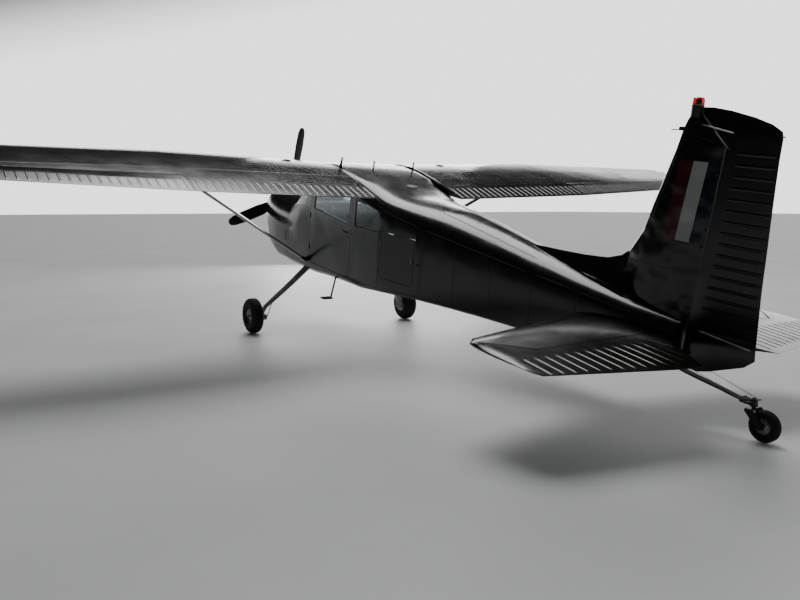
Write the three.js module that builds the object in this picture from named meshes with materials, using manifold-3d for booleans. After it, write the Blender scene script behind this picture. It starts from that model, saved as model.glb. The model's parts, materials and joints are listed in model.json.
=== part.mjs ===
// High-wing, strut-braced light aircraft on a tail-wheel gear, parked on its wheels.
// Millimetres. The airframe's own frame has +X to the nose with x = 0 at the firewall, +Y to port,
// and +Z up from the flat belly. The whole airframe is then pitched nose-up as it parks.

import * as THREE from 'three';
import { mergeVertices } from 'three/addons/utils/BufferGeometryUtils.js';
import Module from 'manifold-3d';

const wasm = await Module();
wasm.setup();

// Driving dimensions
const parkedPitch = THREE.MathUtils.degToRad(7.5);
const meshGap = 0.4;
const moveGap = 6;
const cabinWall = 30;
const glassThickness = 6;
const cowlWall = 10;

// Wing
const wingRootY = 545.3;
const wingRootLead = -648;
const wingRootTrail = -2274;
const wingTrailHeight = 1126;
const wingIncidence = Math.tan(THREE.MathUtils.degToRad(6.9));
const wingTaperStart = 2540;
const dihedral = Math.tan(THREE.MathUtils.degToRad(1.75));
const wingThickness = 0.12;
const wingCamber = 0.02;
const flapHingeX = -1930;
const flapNoseRadius = 43;
const aileronInboard = { y: 2556, x: -1905, noseRadius: 49 };
const aileronOutboard = { y: 5285, x: -1640, noseRadius: 34 };
const flapPivotDrop = 120;
const flapPivotAhead = 62;

// Tail
const tailplaneHeight = 506;
const tailplaneThickness = 0.07;
const elevatorHingeX = -5709;
const elevatorNoseRadius = 45;
const torqueTubeRadius = 20;
const finThickness = 0.075;
const rudderNoseRadius = 39;
const rudderHingeLow = { x: -5885, z: 450 };
const rudderHingeHigh = { x: -5975, z: 1925 };
const rudderBottom = 314;
const tailConeEnd = -5832;
const rearBulkhead = -3000;

// Undercarriage
const mainAxle = { x: -378, y: 1159, z: -599 };
const mainTyreRadius = 222;
const mainTyreHalfWidth = 78;
const mainRimRadius = 84;
const axleRadius = 19;
const tailTrail = -87;
const tailDrop = 106.2;
const tailTyreRadius = 112;
const tailTyreHalfWidth = 36;
const tailRimRadius = 50;
const kingpin = { x: -6473, z: 200 };
const tyreSides = 32;
const rimSides = 20;

// Propeller
const propeller = { x: 1107, z: 737, radius: 1012, firstBlade: -8.2 };
const spinnerRadius = 168;

// Finishes
function finish(color, roughness, metalness) {
  return new THREE.MeshStandardMaterial({ color, roughness, metalness });
}
const paint = finish('#262822', 0.45, 0.2);
const cowlPaint = finish('#3a3c36', 0.38, 0.3);
const greyPaint = finish('#6b6f70', 0.45, 0.3);
const steel = finish('#7d8082', 0.35, 0.9);
const aluminium = finish('#a9adae', 0.4, 0.9);
const rubber = finish('#1b1b1c', 0.9, 0);
const blackPaint = finish('#15161a', 0.35, 0.1);
const redLens = finish('#a3181c', 0.25, 0);
const seatCloth = finish('#57544c', 0.95, 0);
const glass = new THREE.MeshStandardMaterial({
  color: '#9fb4c4', roughness: 0.06, metalness: 0, transparent: true, opacity: 0.35, side: THREE.DoubleSide,
});

const airframe = new THREE.Group();

function add(name, shape, material) {
  const mesh = new THREE.Mesh(shape.isBufferGeometry ? shape : toGeometry(shape), material);
  mesh.name = name;
  airframe.add(mesh);
}

// Solids and booleans: a closed geometry of either sense becomes a solid with its faces outwards
function toSolid(geometry) {
  const bare = geometry.clone();
  bare.deleteAttribute('normal');
  bare.deleteAttribute('uv');
  const merged = mergeVertices(bare, 1e-3);
  const corner = i => new THREE.Vector3().fromBufferAttribute(merged.attributes.position, merged.index.getX(i));
  let volume = 0;
  for (let i = 0; i < merged.index.count; i += 3) {
    volume += corner(i).dot(corner(i + 1).cross(corner(i + 2)));
  }
  const order = Array.from(merged.index.array);
  return new wasm.Manifold(new wasm.Mesh({
    numProp: 3,
    vertProperties: new Float32Array(merged.attributes.position.array),
    triVerts: new Uint32Array(volume > 0 ? order : order.reverse()),
  }));
}

function toGeometry(solid) {
  const mesh = solid.getMesh();
  const geometry = new THREE.BufferGeometry();
  geometry.setAttribute('position', new THREE.BufferAttribute(mesh.vertProperties, 3));
  geometry.setIndex(new THREE.BufferAttribute(mesh.triVerts, 1));
  return geometry;
}

// Names the columns of a table's rows
function rows(columns, table) {
  return table.map(row => Object.fromEntries(columns.map((column, i) => [column, row[i]])));
}

// A row read off a table between two of its rows, by the table's first column
function between(table, key, value) {
  const sorted = [...table].sort((a, b) => a[key] - b[key]);
  const next = Math.min(Math.max(sorted.findIndex(row => row[key] >= value), 1), sorted.length - 1);
  const low = sorted[next - 1];
  const high = sorted[next];
  const share = (value - low[key]) / (high[key] - low[key]);
  const names = Object.keys(low);
  return Object.fromEntries(names.map(name => [name, low[name] + (high[name] - low[name]) * share]));
}

// The end cap of a loft, cut into triangles that keep the outline's sense or reverse it
function capTriangles(outline, offset, reverse) {
  const normal = new THREE.Vector3();
  outline.forEach((p, i) => normal.add(p.clone().cross(outline[(i + 1) % outline.length])));
  const [x, y, z] = normal.toArray().map(Math.abs);
  const flat = outline.map(p => {
    if (x >= y && x >= z) return new THREE.Vector2(p.y, p.z);
    if (y >= z) return new THREE.Vector2(p.z, p.x);
    return new THREE.Vector2(p.x, p.y);
  });
  const sense = Math.sign(THREE.ShapeUtils.area(flat)) * (reverse ? -1 : 1);
  return THREE.ShapeUtils.triangulateShape(flat, []).flatMap(([a, b, c]) => {
    const same = Math.sign(THREE.ShapeUtils.area([flat[a], flat[b], flat[c]])) === sense;
    return same ? [a + offset, b + offset, c + offset] : [a + offset, c + offset, b + offset];
  });
}

// One closed solid through a list of outlines, each with the same number of points
function loft(outlines) {
  const count = outlines[0].length;
  const index = [];
  for (let i = 0; i < outlines.length - 1; i++) {
    for (let j = 0; j < count; j++) {
      const a = i * count + j;
      const b = i * count + (j + 1) % count;
      index.push(a, b, b + count, a, b + count, a + count);
    }
  }
  index.push(...capTriangles(outlines[0], 0, true));
  const last = outlines.length - 1;
  index.push(...capTriangles(outlines[last], last * count, false));
  const geometry = new THREE.BufferGeometry().setFromPoints(outlines.flat());
  geometry.setIndex(index);
  return toSolid(geometry);
}

// A prism of a plane outline, drawn in XZ and run along Y, or drawn in XY and run along Z
function prism(points, plane, from, to) {
  const place = (p, depth) => (plane === 'xz'
    ? new THREE.Vector3(p[0], depth, p[1])
    : new THREE.Vector3(p[0], p[1], depth));
  return loft([from, to].map(depth => points.map(p => place(p, depth))));
}

function box(low, high) {
  const size = high.map((value, i) => value - low[i]);
  const geometry = new THREE.BoxGeometry(...size);
  geometry.translate(...low.map((value, i) => value + size[i] / 2));
  return toSolid(geometry);
}

// A round bar between two points
function bar(start, end, radius, sides = 12, endRadius = radius) {
  const a = new THREE.Vector3(...start);
  const b = new THREE.Vector3(...end);
  const along = b.clone().sub(a);
  const geometry = new THREE.CylinderGeometry(endRadius, radius, along.length(), sides);
  const turn = new THREE.Quaternion().setFromUnitVectors(new THREE.Vector3(0, 1, 0), along.normalize());
  geometry.applyQuaternion(turn);
  geometry.translate((a.x + b.x) / 2, (a.y + b.y) / 2, (a.z + b.z) / 2);
  return toSolid(geometry);
}

// A turned form about the Y axis, moved to its place, with a flat of its polygon facing the ground
function turned(profile, sides, centre) {
  const points = profile.map(([radius, y]) => new THREE.Vector2(radius / Math.cos(Math.PI / sides), y));
  const geometry = new THREE.LatheGeometry([...points, points[0]], sides);
  geometry.rotateY(Math.PI / sides + parkedPitch);
  geometry.translate(...centre);
  return toSolid(geometry);
}

function joined(solids) {
  return solids.reduce((whole, next) => whole.add(next));
}

// An outline moved inwards by a gap, with mitred corners
function shrunk(points, gap) {
  const area = THREE.ShapeUtils.area(points.map(p => new THREE.Vector2(...p)));
  const normals = points.map((p, i) => {
    const q = points[(i + 1) % points.length];
    const edge = new THREE.Vector2(q[0] - p[0], q[1] - p[1]).normalize();
    return new THREE.Vector2(-edge.y, edge.x).multiplyScalar(Math.sign(area));
  });
  return points.map((p, i) => {
    const before = normals[(i + points.length - 1) % points.length];
    const after = normals[i];
    const mitre = before.clone().add(after).multiplyScalar(gap / (1 + before.dot(after)));
    return [p[0] + mitre.x, p[1] + mitre.y];
  });
}

// Height of the wing's upper skin at its root, which the cabin roof carries across
function wingTop(x) {
  const chord = wingRootLead - wingRootTrail;
  const share = (wingRootLead - x) / chord;
  const rise = meanLine(share, wingCamber) + halfThickness(share, wingThickness);
  return wingTrailHeight + (1 - share) * chord * wingIncidence + rise * chord;
}

// Fuselage and cowl sections: flat belly with round corners, upright sides and a crowned deck
const roofCrown = 14;
const roofEnd = -1680;
const sectionColumns = ['x', 'halfWidth', 'belly', 'corner', 'shoulder', 'top', 'crown'];
const fuselageSections = rows(sectionColumns, [
  [0, 525, 0, 110, 640, 895, 2.3],
  [-60, 528, 0, 110, 655, 906, 2.3],
  [-350, 540, 0, 110, 830, 1118, 2.8],
  [-640, 545, 0, 110, 1080, wingTop(-649), 6],
  [-700, 545, 0, 110, 1130, wingTop(-700), roofCrown],
  [-820, 545, 5, 110, 1150, wingTop(-820), roofCrown],
  [-1100, 545, 28, 110, 1150, wingTop(-1100), roofCrown],
  [-1400, 545, 40, 110, 1125, wingTop(-1400), roofCrown],
  [roofEnd, 545, 48, 110, 1090, wingTop(roofEnd), roofCrown],
  [-1900, 545, 52, 110, 1045, 1238, 5],
  [-2280, 545, 95, 100, 1000, 1158, 3],
  [-2460, 526, 112, 90, 955, 1148, 2.3],
  [-2880, 475, 148, 80, 893, 1122, 2],
  [-3230, 433, 168, 75, 842, 1094, 1.9],
  [-3790, 366, 195, 65, 783, 1000, 1.8],
  [-4250, 310, 207, 60, 728, 915, 1.8],
  [-4930, 229, 250, 50, 650, 795, 1.8],
  [-5400, 172, 282, 40, 600, 722, 1.8],
  [-5870, 116, 312, 35, 555, 672, 1.8],
]);
const cowlSections = rows(sectionColumns, [
  [0.3, 525, 0, 110, 640, 895, 2.3],
  [420, 510, 10, 110, 640, 905, 2.3],
  [760, 465, 95, 130, 655, 908, 2.3],
  [940, 430, 260, 150, 680, 908, 2.2],
  [1015, 390, 390, 150, 700, 907, 2.1],
  [1050, 335, 460, 140, 715, 902, 2],
]);
const cornerSteps = 3;
const crownSteps = 6;

function sectionOutline(section, inset) {
  const width = section.halfWidth - inset;
  const belly = section.belly + inset;
  const corner = Math.max(section.corner - inset, 12);
  const top = section.top - inset;
  const half = [];
  for (let i = 0; i <= cornerSteps; i++) {
    const angle = (i / cornerSteps) * Math.PI / 2;
    half.push([width - corner + corner * Math.sin(angle), belly + corner - corner * Math.cos(angle)]);
  }
  for (let i = 0; i < crownSteps; i++) {
    const angle = (i / crownSteps) * Math.PI / 2;
    half.push([
      width * Math.cos(angle) ** (2 / section.crown),
      section.shoulder + (top - section.shoulder) * Math.sin(angle) ** (2 / section.crown),
    ]);
  }
  const other = half.map(([y, z]) => [-y, z]).reverse();
  const ring = [[0, belly], ...half, [0, top], ...other];
  return ring.map(([y, z]) => new THREE.Vector3(section.x, y, z));
}

function body(sections, from, to, inset) {
  const inside = sections.map(s => s.x).filter(x => x < Math.max(from, to) && x > Math.min(from, to));
  const stations = [from, ...inside, to].sort((a, b) => a - b);
  return loft(stations.map(x => sectionOutline(between(sections, 'x', x), inset)));
}

// Height of the deck's crown at a place along and beside the centre line
function deckHeight(x, y) {
  const section = between(fuselageSections, 'x', x);
  const rise = (1 - Math.abs(y / section.halfWidth) ** section.crown) ** (1 / section.crown);
  return section.shoulder + (section.top - section.shoulder) * rise;
}

function floorHeight(x) {
  return between(fuselageSections, 'x', x).belly + cabinWall;
}

// Openings in the cabin, as outlines in side view
const windscreenOutline = [[-72, 1500], [-72, 790], [-470, 838], [-600, 1072], [-624, 1500]];
const doorOutline = [
  [-650, 190], [-690, 137], [-1610, 137], [-1665, 190], [-1690, 1100], [-740, 1185], [-650, 800],
];
const doorGlassOutline = [[-745, 831], [-1615, 754], [-1630, 1058], [-800, 1133]];
const rearGlassOutline = [
  [-1760, 752], [-2265, 766], [-2312, 895], [-2243, 985], [-2020, 1028], [-1772, 1046],
];
const baggageDoorOutline = [
  [-2330, 330], [-2372, 288], [-2843, 288], [-2885, 330], [-2885, 780], [-2330, 780],
];
const doorHinge = { x: -648, y: 552 };
const baggageHinge = { x: -2326, y: 549 };
const outside = 700;
const inside = 300;

function sideCut(outline, side) {
  return side > 0 ? prism(outline, 'xz', inside, outside) : prism(outline, 'xz', -outside, -inside);
}

const cabinOuter = body(fuselageSections, 0, rearBulkhead, 0);
const cabinInner = body(fuselageSections, -cabinWall, rearBulkhead + cabinWall, cabinWall);
const cabinSkin = cabinOuter.subtract(cabinInner);
const glassSkin = body(fuselageSections, -20, rearBulkhead, glassThickness)
  .subtract(body(fuselageSections, -20, rearBulkhead, glassThickness * 2));

function makeCabin() {
  let shell = cabinSkin.subtract(prism(windscreenOutline, 'xz', -outside, outside));
  for (const side of [1, -1]) {
    shell = shell.subtract(sideCut(shrunk(doorOutline, -moveGap), side));
    shell = shell.subtract(sideCut(rearGlassOutline, side));
  }
  shell = shell.subtract(sideCut(shrunk(baggageDoorOutline, -moveGap), 1));
  add('cabin_shell', shell, paint);
  add('windscreen', glassSkin.intersect(prism(shrunk(windscreenOutline, meshGap), 'xz', -outside, outside)), glass);
  add('rear_glass_left', glassSkin.intersect(sideCut(shrunk(rearGlassOutline, meshGap), 1)), glass);
  add('rear_glass_right', glassSkin.intersect(sideCut(shrunk(rearGlassOutline, meshGap), -1)), glass);
}

function makeDoor(name, side) {
  const frame = cabinSkin.intersect(sideCut(doorOutline, side)).subtract(sideCut(doorGlassOutline, side));
  add(`door_${name}`, frame, paint);
  add(`door_glass_${name}`, glassSkin.intersect(sideCut(shrunk(doorGlassOutline, meshGap), side)), glass);
}

function makeTailCone() {
  const tube = bar([elevatorHingeX, -400, tailplaneHeight], [elevatorHingeX, 400, tailplaneHeight],
    torqueTubeRadius + moveGap, 16);
  return body(fuselageSections, rearBulkhead - meshGap, tailConeEnd, 0).subtract(tube);
}

// Cowl in two halves, with the engine and its mount inside
const cowlSplit = 560;
const cowlInlet = { y: 215, z: 735, width: 130, height: 150 };
const engine = { back: 300, front: 900, halfWidth: 340, bottom: 560, top: 790 };
const exhaustPipe = { x: 330, y: 190, radius: 26 };

function makeCowl() {
  let skin = body(cowlSections, 0.3, 1050, 0).subtract(body(cowlSections, -50, 1050 - cowlWall, cowlWall));
  skin = skin.subtract(bar([900, 0, propeller.z], [1100, 0, propeller.z], 75, 20));
  for (const side of [1, -1]) {
    const y = side * cowlInlet.y;
    skin = skin.subtract(box(
      [1000, y - cowlInlet.width / 2, cowlInlet.z - cowlInlet.height / 2],
      [1100, y + cowlInlet.width / 2, cowlInlet.z + cowlInlet.height / 2],
    ));
    skin = skin.subtract(bar([exhaustPipe.x, side * exhaustPipe.y, -200],
      [exhaustPipe.x, side * exhaustPipe.y, 100], exhaustPipe.radius + 12, 16));
  }
  const reach = 1000;
  add('cowl_upper', skin.intersect(box([-100, -reach, cowlSplit + meshGap / 2], [1200, reach, reach])), cowlPaint);
  add('cowl_lower', skin.intersect(box([-100, -reach, -reach], [1200, reach, cowlSplit - meshGap / 2])), cowlPaint);
}

function makeEngine() {
  const block = box([engine.back, -engine.halfWidth, engine.bottom], [engine.front, engine.halfWidth, engine.top]);
  const mounts = [[250, 600], [250, 750], [-250, 600], [-250, 750]].map(([y, z]) => (
    bar([meshGap, y, z], [engine.back + 20, y, z], 14, 8)
  ));
  add('engine_block', joined([block, ...mounts]), aluminium);
  const muffler = bar([exhaustPipe.x + 130, -260, 240], [exhaustPipe.x + 130, 260, 240], 60, 12);
  const risers = [1, -1].map(side => bar([exhaustPipe.x + 130, side * 200, 240],
    [exhaustPipe.x + 130, side * 200, engine.bottom - meshGap], 22, 10));
  const links = [1, -1].map(side => bar([exhaustPipe.x + 130, side * exhaustPipe.y, 240],
    [exhaustPipe.x, side * exhaustPipe.y, 110], exhaustPipe.radius, 12));
  const pipes = [1, -1].map(side => bar([exhaustPipe.x, side * exhaustPipe.y, 125],
    [exhaustPipe.x, side * exhaustPipe.y, -75], exhaustPipe.radius, 12));
  add('exhaust', joined([muffler, ...risers, ...links, ...pipes]), steel);
}

// Propeller: a spinner with a bore for each blade's shank
const bladeColumns = ['r', 'chord', 'thickness', 'pitch'];
const bladeSections = rows(bladeColumns, [
  [100, 74, 74, 45],
  [190, 84, 62, 44],
  [300, 130, 36, 38],
  [520, 165, 22, 29],
  [760, 160, 15, 22],
  [930, 132, 10, 18],
  [990, 92, 7, 17],
  [propeller.radius, 46, 5, 17],
]);
const bladeSides = 12;

function makeSpinner() {
  const profile = [[0, 1370], [26, 1366], [70, 1335], [120, 1265], [152, 1180], [spinnerRadius, 1065],
    [60, 1065], [60, engine.front + 5], [0, engine.front + 5]];
  const geometry = new THREE.LatheGeometry(profile.map(([r, x]) => new THREE.Vector2(r, x)), 20);
  geometry.rotateZ(-Math.PI / 2);
  geometry.translate(0, 0, propeller.z);
  let spinner = toSolid(geometry);
  for (let blade = 0; blade < 3; blade++) {
    const [y, z] = bladeDirection(blade);
    spinner = spinner.subtract(bar(
      [propeller.x, 98 * y, propeller.z + 98 * z], [propeller.x, 300 * y, propeller.z + 300 * z], 46, 16));
  }
  add('spinner', spinner, blackPaint);
}

function bladeDirection(blade) {
  const angle = THREE.MathUtils.degToRad(propeller.firstBlade + 120 * blade);
  return [Math.sin(angle), Math.cos(angle)];
}

function makeBlade(blade) {
  const [y, z] = bladeDirection(blade);
  const out = new THREE.Vector3(0, y, z);
  const across = new THREE.Vector3(0, -z, y);
  const forward = new THREE.Vector3(1, 0, 0);
  const centre = new THREE.Vector3(propeller.x, 0, propeller.z);
  const outlines = bladeSections.map(section => {
    const pitch = THREE.MathUtils.degToRad(section.pitch);
    const chordAxis = across.clone().multiplyScalar(Math.cos(pitch)).addScaledVector(forward, Math.sin(pitch));
    const thickAxis = forward.clone().multiplyScalar(Math.cos(pitch)).addScaledVector(across, -Math.sin(pitch));
    return Array.from({ length: bladeSides }, (_, i) => {
      const angle = (i / bladeSides) * 2 * Math.PI;
      return centre.clone()
        .addScaledVector(out, section.r)
        .addScaledVector(chordAxis, Math.cos(angle) * section.chord / 2)
        .addScaledVector(thickAxis, Math.sin(angle) * section.thickness / 2);
    });
  });
  add(`blade_${blade + 1}`, loft(outlines), blackPaint);
}

// Aerofoil: half thickness and mean line by the four-digit formulas, as shares of the chord
const chordShares = [1, 0.86, 0.7, 0.5, 0.3, 0.15, 0.05, 0.012];

function halfThickness(share, thickness) {
  const s = share;
  return 5 * thickness * (0.2969 * Math.sqrt(s) - 0.126 * s - 0.3516 * s ** 2 + 0.2843 * s ** 3 - 0.1015 * s ** 4);
}

function meanLine(share, camber) {
  const peak = 0.4;
  if (share < peak) return camber / peak ** 2 * (2 * peak * share - share ** 2);
  return camber / (1 - peak) ** 2 * (1 - 2 * peak + 2 * peak * share - share ** 2);
}

// Aerofoil outline as [share of chord, height as a share of chord]
function aerofoil(thickness, camber) {
  const upper = chordShares.map(s => [s, meanLine(s, camber) + halfThickness(s, thickness)]);
  const lower = chordShares.map(s => [s, meanLine(s, camber) - halfThickness(s, thickness)]).reverse();
  return [...upper, [0, 0], ...lower];
}

// Wing planform for one side
const wingColumns = ['y', 'lead', 'trail', 'thickness'];
const wingSections = rows(wingColumns, [
  [wingRootY, wingRootLead, wingRootTrail, wingThickness],
  [wingTaperStart, wingRootLead, wingRootTrail, wingThickness],
  [5300, -752, -1870, wingThickness],
  [5410, -812, -1846, wingThickness * 0.72],
  [5460, -960, -1770, wingThickness * 0.25],
]);

// Height of the chord line at a span station, some way forward of the trailing edge
function wingHeight(y, forward) {
  return wingTrailHeight + forward * wingIncidence + (y - wingRootY) * dihedral;
}

function wingOutline(section, side) {
  const chord = section.lead - section.trail;
  return aerofoil(section.thickness, wingCamber).map(([share, rise]) => new THREE.Vector3(
    section.lead - chord * share,
    side * section.y,
    wingHeight(section.y, (1 - share) * chord) + rise * chord,
  ));
}

// Height of the wing's mean line
function wingMean(x, y) {
  const section = between(wingSections, 'y', y);
  const chord = section.lead - section.trail;
  const share = (section.lead - x) / chord;
  return wingHeight(y, (1 - share) * chord) + meanLine(share, wingCamber) * chord;
}

// The moving part behind a hinge line: what lies behind it, with a round nose about the hinge
function hingedRegion(plan, low, high, from, to, radius, endRadius = radius) {
  return prism(plan, 'xy', low, high).add(bar(from, to, radius, 20, endRadius));
}

function flapRegion(side, gap) {
  const inner = 561 - gap * 1.5;
  const outer = 2531 + gap * 1.5;
  const front = flapHingeX + gap;
  const plan = [[front, inner], [front, outer], [-2400, outer], [-2400, inner]].map(([x, y]) => [x, side * y]);
  const at = y => [flapHingeX, side * y, wingMean(flapHingeX, y)];
  return hingedRegion(plan, 900, 1500, at(inner), at(outer), flapNoseRadius + gap);
}

function aileronRegion(side, gap) {
  const slope = (aileronOutboard.x - aileronInboard.x) / (aileronOutboard.y - aileronInboard.y);
  const hingeX = y => aileronInboard.x + slope * (y - aileronInboard.y);
  const inner = aileronInboard.y + 3 - gap * 1.5;
  const outer = aileronOutboard.y - 3 + gap * 1.5;
  const plan = [[hingeX(inner) + gap, inner], [hingeX(outer) + gap, outer], [-2400, outer], [-2400, inner]];
  const at = y => [hingeX(y), side * y, wingMean(hingeX(y), y)];
  return hingedRegion(plan.map(([x, y]) => [x, side * y]), 900, 1600, at(inner), at(outer),
    aileronInboard.noseRadius + gap, aileronOutboard.noseRadius + gap);
}

const strut = {
  foot: { x: -540, y: 470, z: 88 }, top: { x: -1060, y: 2540 }, chord: 84, thickness: 38,
};

function makeWing(name, side) {
  const whole = loft(wingSections.map(section => wingOutline(section, side)));
  add(`wing_${name}`, whole.subtract(flapRegion(side, moveGap)).subtract(aileronRegion(side, moveGap)), paint);
  add(`flap_${name}`, whole.intersect(flapRegion(side, 0)), paint);
  add(`aileron_${name}`, whole.intersect(aileronRegion(side, 0)), paint);
  const foot = new THREE.Vector3(strut.foot.x, side * strut.foot.y, strut.foot.z);
  const top = new THREE.Vector3(strut.top.x, side * strut.top.y, wingMean(strut.top.x, strut.top.y));
  const across = new THREE.Vector3(1, 0, 0);
  const along = top.clone().sub(foot).normalize();
  const thick = along.clone().cross(across).normalize();
  const outlines = [foot, top].map(end => aerofoil(strut.thickness / strut.chord, 0).map(([share, rise]) => (
    end.clone().addScaledVector(across, (0.5 - share) * strut.chord).addScaledVector(thick, rise * strut.chord)
  )));
  const wing = whole.translate(0, 0, -meshGap);
  const fuselage = cabinOuter.translate(0, side * meshGap, 0);
  add(`strut_${name}`, loft(outlines).subtract(wing).subtract(fuselage), paint);
}

// Tailplane and elevator planform for one side
const tailplaneSections = rows(['y', 'lead', 'trail', 'thickness'], [
  [100, -4900, -6380, tailplaneThickness],
  [700, -5044, -6290, tailplaneThickness],
  [1560, -5252, -6084, tailplaneThickness],
  [1640, -5330, -6062, tailplaneThickness * 0.8],
  [1664, -5480, -5990, tailplaneThickness * 0.35],
]);
const hornCorner = { x: elevatorHingeX - 8, y: 1331 };
const hornTip = { x: -5402, y: 1624 };
const hornClearance = 8;
const elevatorInner = { y: 150, trailX: -6320, trailY: 430 };

function tailplaneOutline(section, side) {
  const chord = section.lead - section.trail;
  return aerofoil(section.thickness, 0).map(([share, rise]) => new THREE.Vector3(
    section.lead - chord * share, side * section.y, tailplaneHeight + rise * chord,
  ));
}

function elevatorRegion(side, gap) {
  const inner = elevatorInner.y - gap;
  const slant = { x: elevatorInner.trailX, y: elevatorInner.trailY - gap };
  const hinge = elevatorHingeX + gap;
  const plan = [
    [hinge, inner], [hinge, hornCorner.y - gap * 3], [hornTip.x + gap, hornTip.y - gap * 1.5],
    [hornTip.x + gap, 1700], [-6500, 1700], [-6500, slant.y + 90], [slant.x, slant.y],
    [elevatorHingeX - 60, inner],
  ].map(([x, y]) => [x, side * y]);
  const at = y => [elevatorHingeX, side * y, tailplaneHeight];
  return hingedRegion(plan, 350, 650, at(inner), at(hornCorner.y + gap * hornClearance), elevatorNoseRadius + gap);
}

function makeTailplane(name, side, cone) {
  const whole = loft(tailplaneSections.map(section => tailplaneOutline(section, side)));
  const room = body(fuselageSections, rearBulkhead, -5900, -meshGap);
  const behind = elevatorHingeX + elevatorNoseRadius + moveGap;
  const rootRoom = box([-6500, Math.min(0, side * 160), 300], [behind, Math.max(0, side * 160), 700]);
  const rearRoom = box([-6500, Math.min(0, side * 1300), 300], [elevatorHingeX, Math.max(0, side * 1300), 700]);
  const stabilizer = whole.subtract(elevatorRegion(side, moveGap)).subtract(room).subtract(rootRoom)
    .subtract(rearRoom);
  add(`stabilizer_${name}`, stabilizer, paint);
  return whole.intersect(elevatorRegion(side, 0));
}

function makeElevator(halves) {
  const reach = elevatorInner.y + 25;
  const tube = bar([elevatorHingeX, -reach, tailplaneHeight], [elevatorHingeX, reach, tailplaneHeight],
    torqueTubeRadius, 16);
  add('elevator', joined([...halves, tube]), paint);
}

// Fin and rudder planform, by height
const finSections = rows(['z', 'lead', 'trail'], [
  [rudderBottom, -5250, -5992],
  [345, -5250, -6090],
  [395, -5230, -6205],
  [455, -5220, -6345],
  [520, -5210, -6418],
  [577, -5200, -6411],
  [1000, -5180, -6377],
  [1122, -5241, -6371],
  [1269, -5328, -6364],
  [1483, -5385, -6352],
  [1734, -5462, -6340],
  [1894, -5512, -6334],
  [2018, -5542, -6334],
  [2066, -5556, -6322],
  [2110, -5574, -6245],
  [2150, -5595, -6115],
  [2190, -5632, -5925],
  [2208, -5668, -5780],
]);

function rudderHingeX(z) {
  const slope = (rudderHingeHigh.x - rudderHingeLow.x) / (rudderHingeHigh.z - rudderHingeLow.z);
  return rudderHingeLow.x + slope * (z - rudderHingeLow.z);
}

function finOutline(section) {
  const chord = section.lead - section.trail;
  return aerofoil(finThickness, 0).map(([share, rise]) => new THREE.Vector3(
    section.lead - chord * share, rise * chord, section.z,
  ));
}

function rudderRegion(gap) {
  const corner = rudderHingeHigh;
  const hornTop = { x: -5701, z: 2182 };
  const low = rudderBottom - 60;
  const side = [
    [rudderHingeX(low) + gap, low], [corner.x + gap, corner.z - gap], [hornTop.x + gap, hornTop.z - gap * 1.4],
    [hornTop.x + gap, 2300], [-6600, 2300], [-6600, low],
  ];
  const from = [rudderHingeX(low), 0, low];
  const to = [rudderHingeX(corner.z + gap), 0, corner.z + gap];
  return prism(side, 'xz', -160, 160).add(bar(from, to, rudderNoseRadius + gap, 20));
}

const dorsalSections = rows(['x', 'top', 'halfWidth'], [
  [-4020, 962, 14],
  [-4150, 946, 34],
  [-4442, 952, 66],
  [-4745, 964, 84],
  [-5003, 987, 92],
  [-5146, 1034, 96],
  [-5270, 1130, 100],
  [-5400, 860, 98],
  [-5780, 762, 78],
]);

function dorsalOutline(section) {
  const base = deckHeight(section.x, section.halfWidth) - 14;
  const rise = section.top - base;
  const half = [[1, 0], [0.62, 0.2], [0.32, 0.5], [0.14, 0.9]];
  const left = half.map(([across, up]) => [section.halfWidth * across, base + rise * up]);
  const right = left.map(([y, z]) => [-y, z]).reverse();
  const ring = [[0, base - 20], ...left, [0, section.top], ...right];
  return ring.map(([y, z]) => new THREE.Vector3(section.x, y, z));
}

function makeFin() {
  const whole = loft(finSections.map(finOutline));
  const above = prism([[-4900, 610], [-6600, 610], [-6600, 2300], [-4900, 2300]], 'xz', -200, 200);
  const dorsal = loft(dorsalSections.map(dorsalOutline));
  const cone = body(fuselageSections, -3500, tailConeEnd, 0).translate(0, 0, meshGap);
  const fin = whole.intersect(above).subtract(rudderRegion(moveGap + 2)).add(dorsal).subtract(cone)
    .subtract(cone.translate(-meshGap, 0, 0));
  add('fin', fin, paint);
  add('rudder', whole.intersect(rudderRegion(0)), paint);
}

// Beacon round the fin's tip
const beacon = { x: -5645, bottom: 2132, seat: 2226, shoulder: 2262, top: 2277, radius: 44, sides: 20 };

function makeBeacon() {
  const { x, bottom, seat, shoulder, top, radius, sides } = beacon;
  const whole = loft(finSections.map(finOutline));
  const clear = joined([whole.translate(meshGap, meshGap, meshGap), whole.translate(meshGap, -meshGap, meshGap)]);
  add('beacon_base', bar([x, 0, bottom], [x, 0, seat], radius, sides).subtract(clear), blackPaint);
  const lens = bar([x, 0, seat + meshGap], [x, 0, shoulder], radius - 1, sides)
    .add(bar([x, 0, shoulder - 1], [x, 0, top], radius - 1, sides, radius - 12));
  add('beacon_lens', lens, redLens);
}

// Antennas: a probe and two swept whiskers on the fin, and masts on the cabin roof
const whisker = { root: { x: -5705, y: 12, z: 2088 }, tip: { x: -6167, y: 300, z: 2036 }, radius: 5 };
const finProbe = { x: -5552, z: 2050, reach: 105, drop: 14 };

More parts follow.
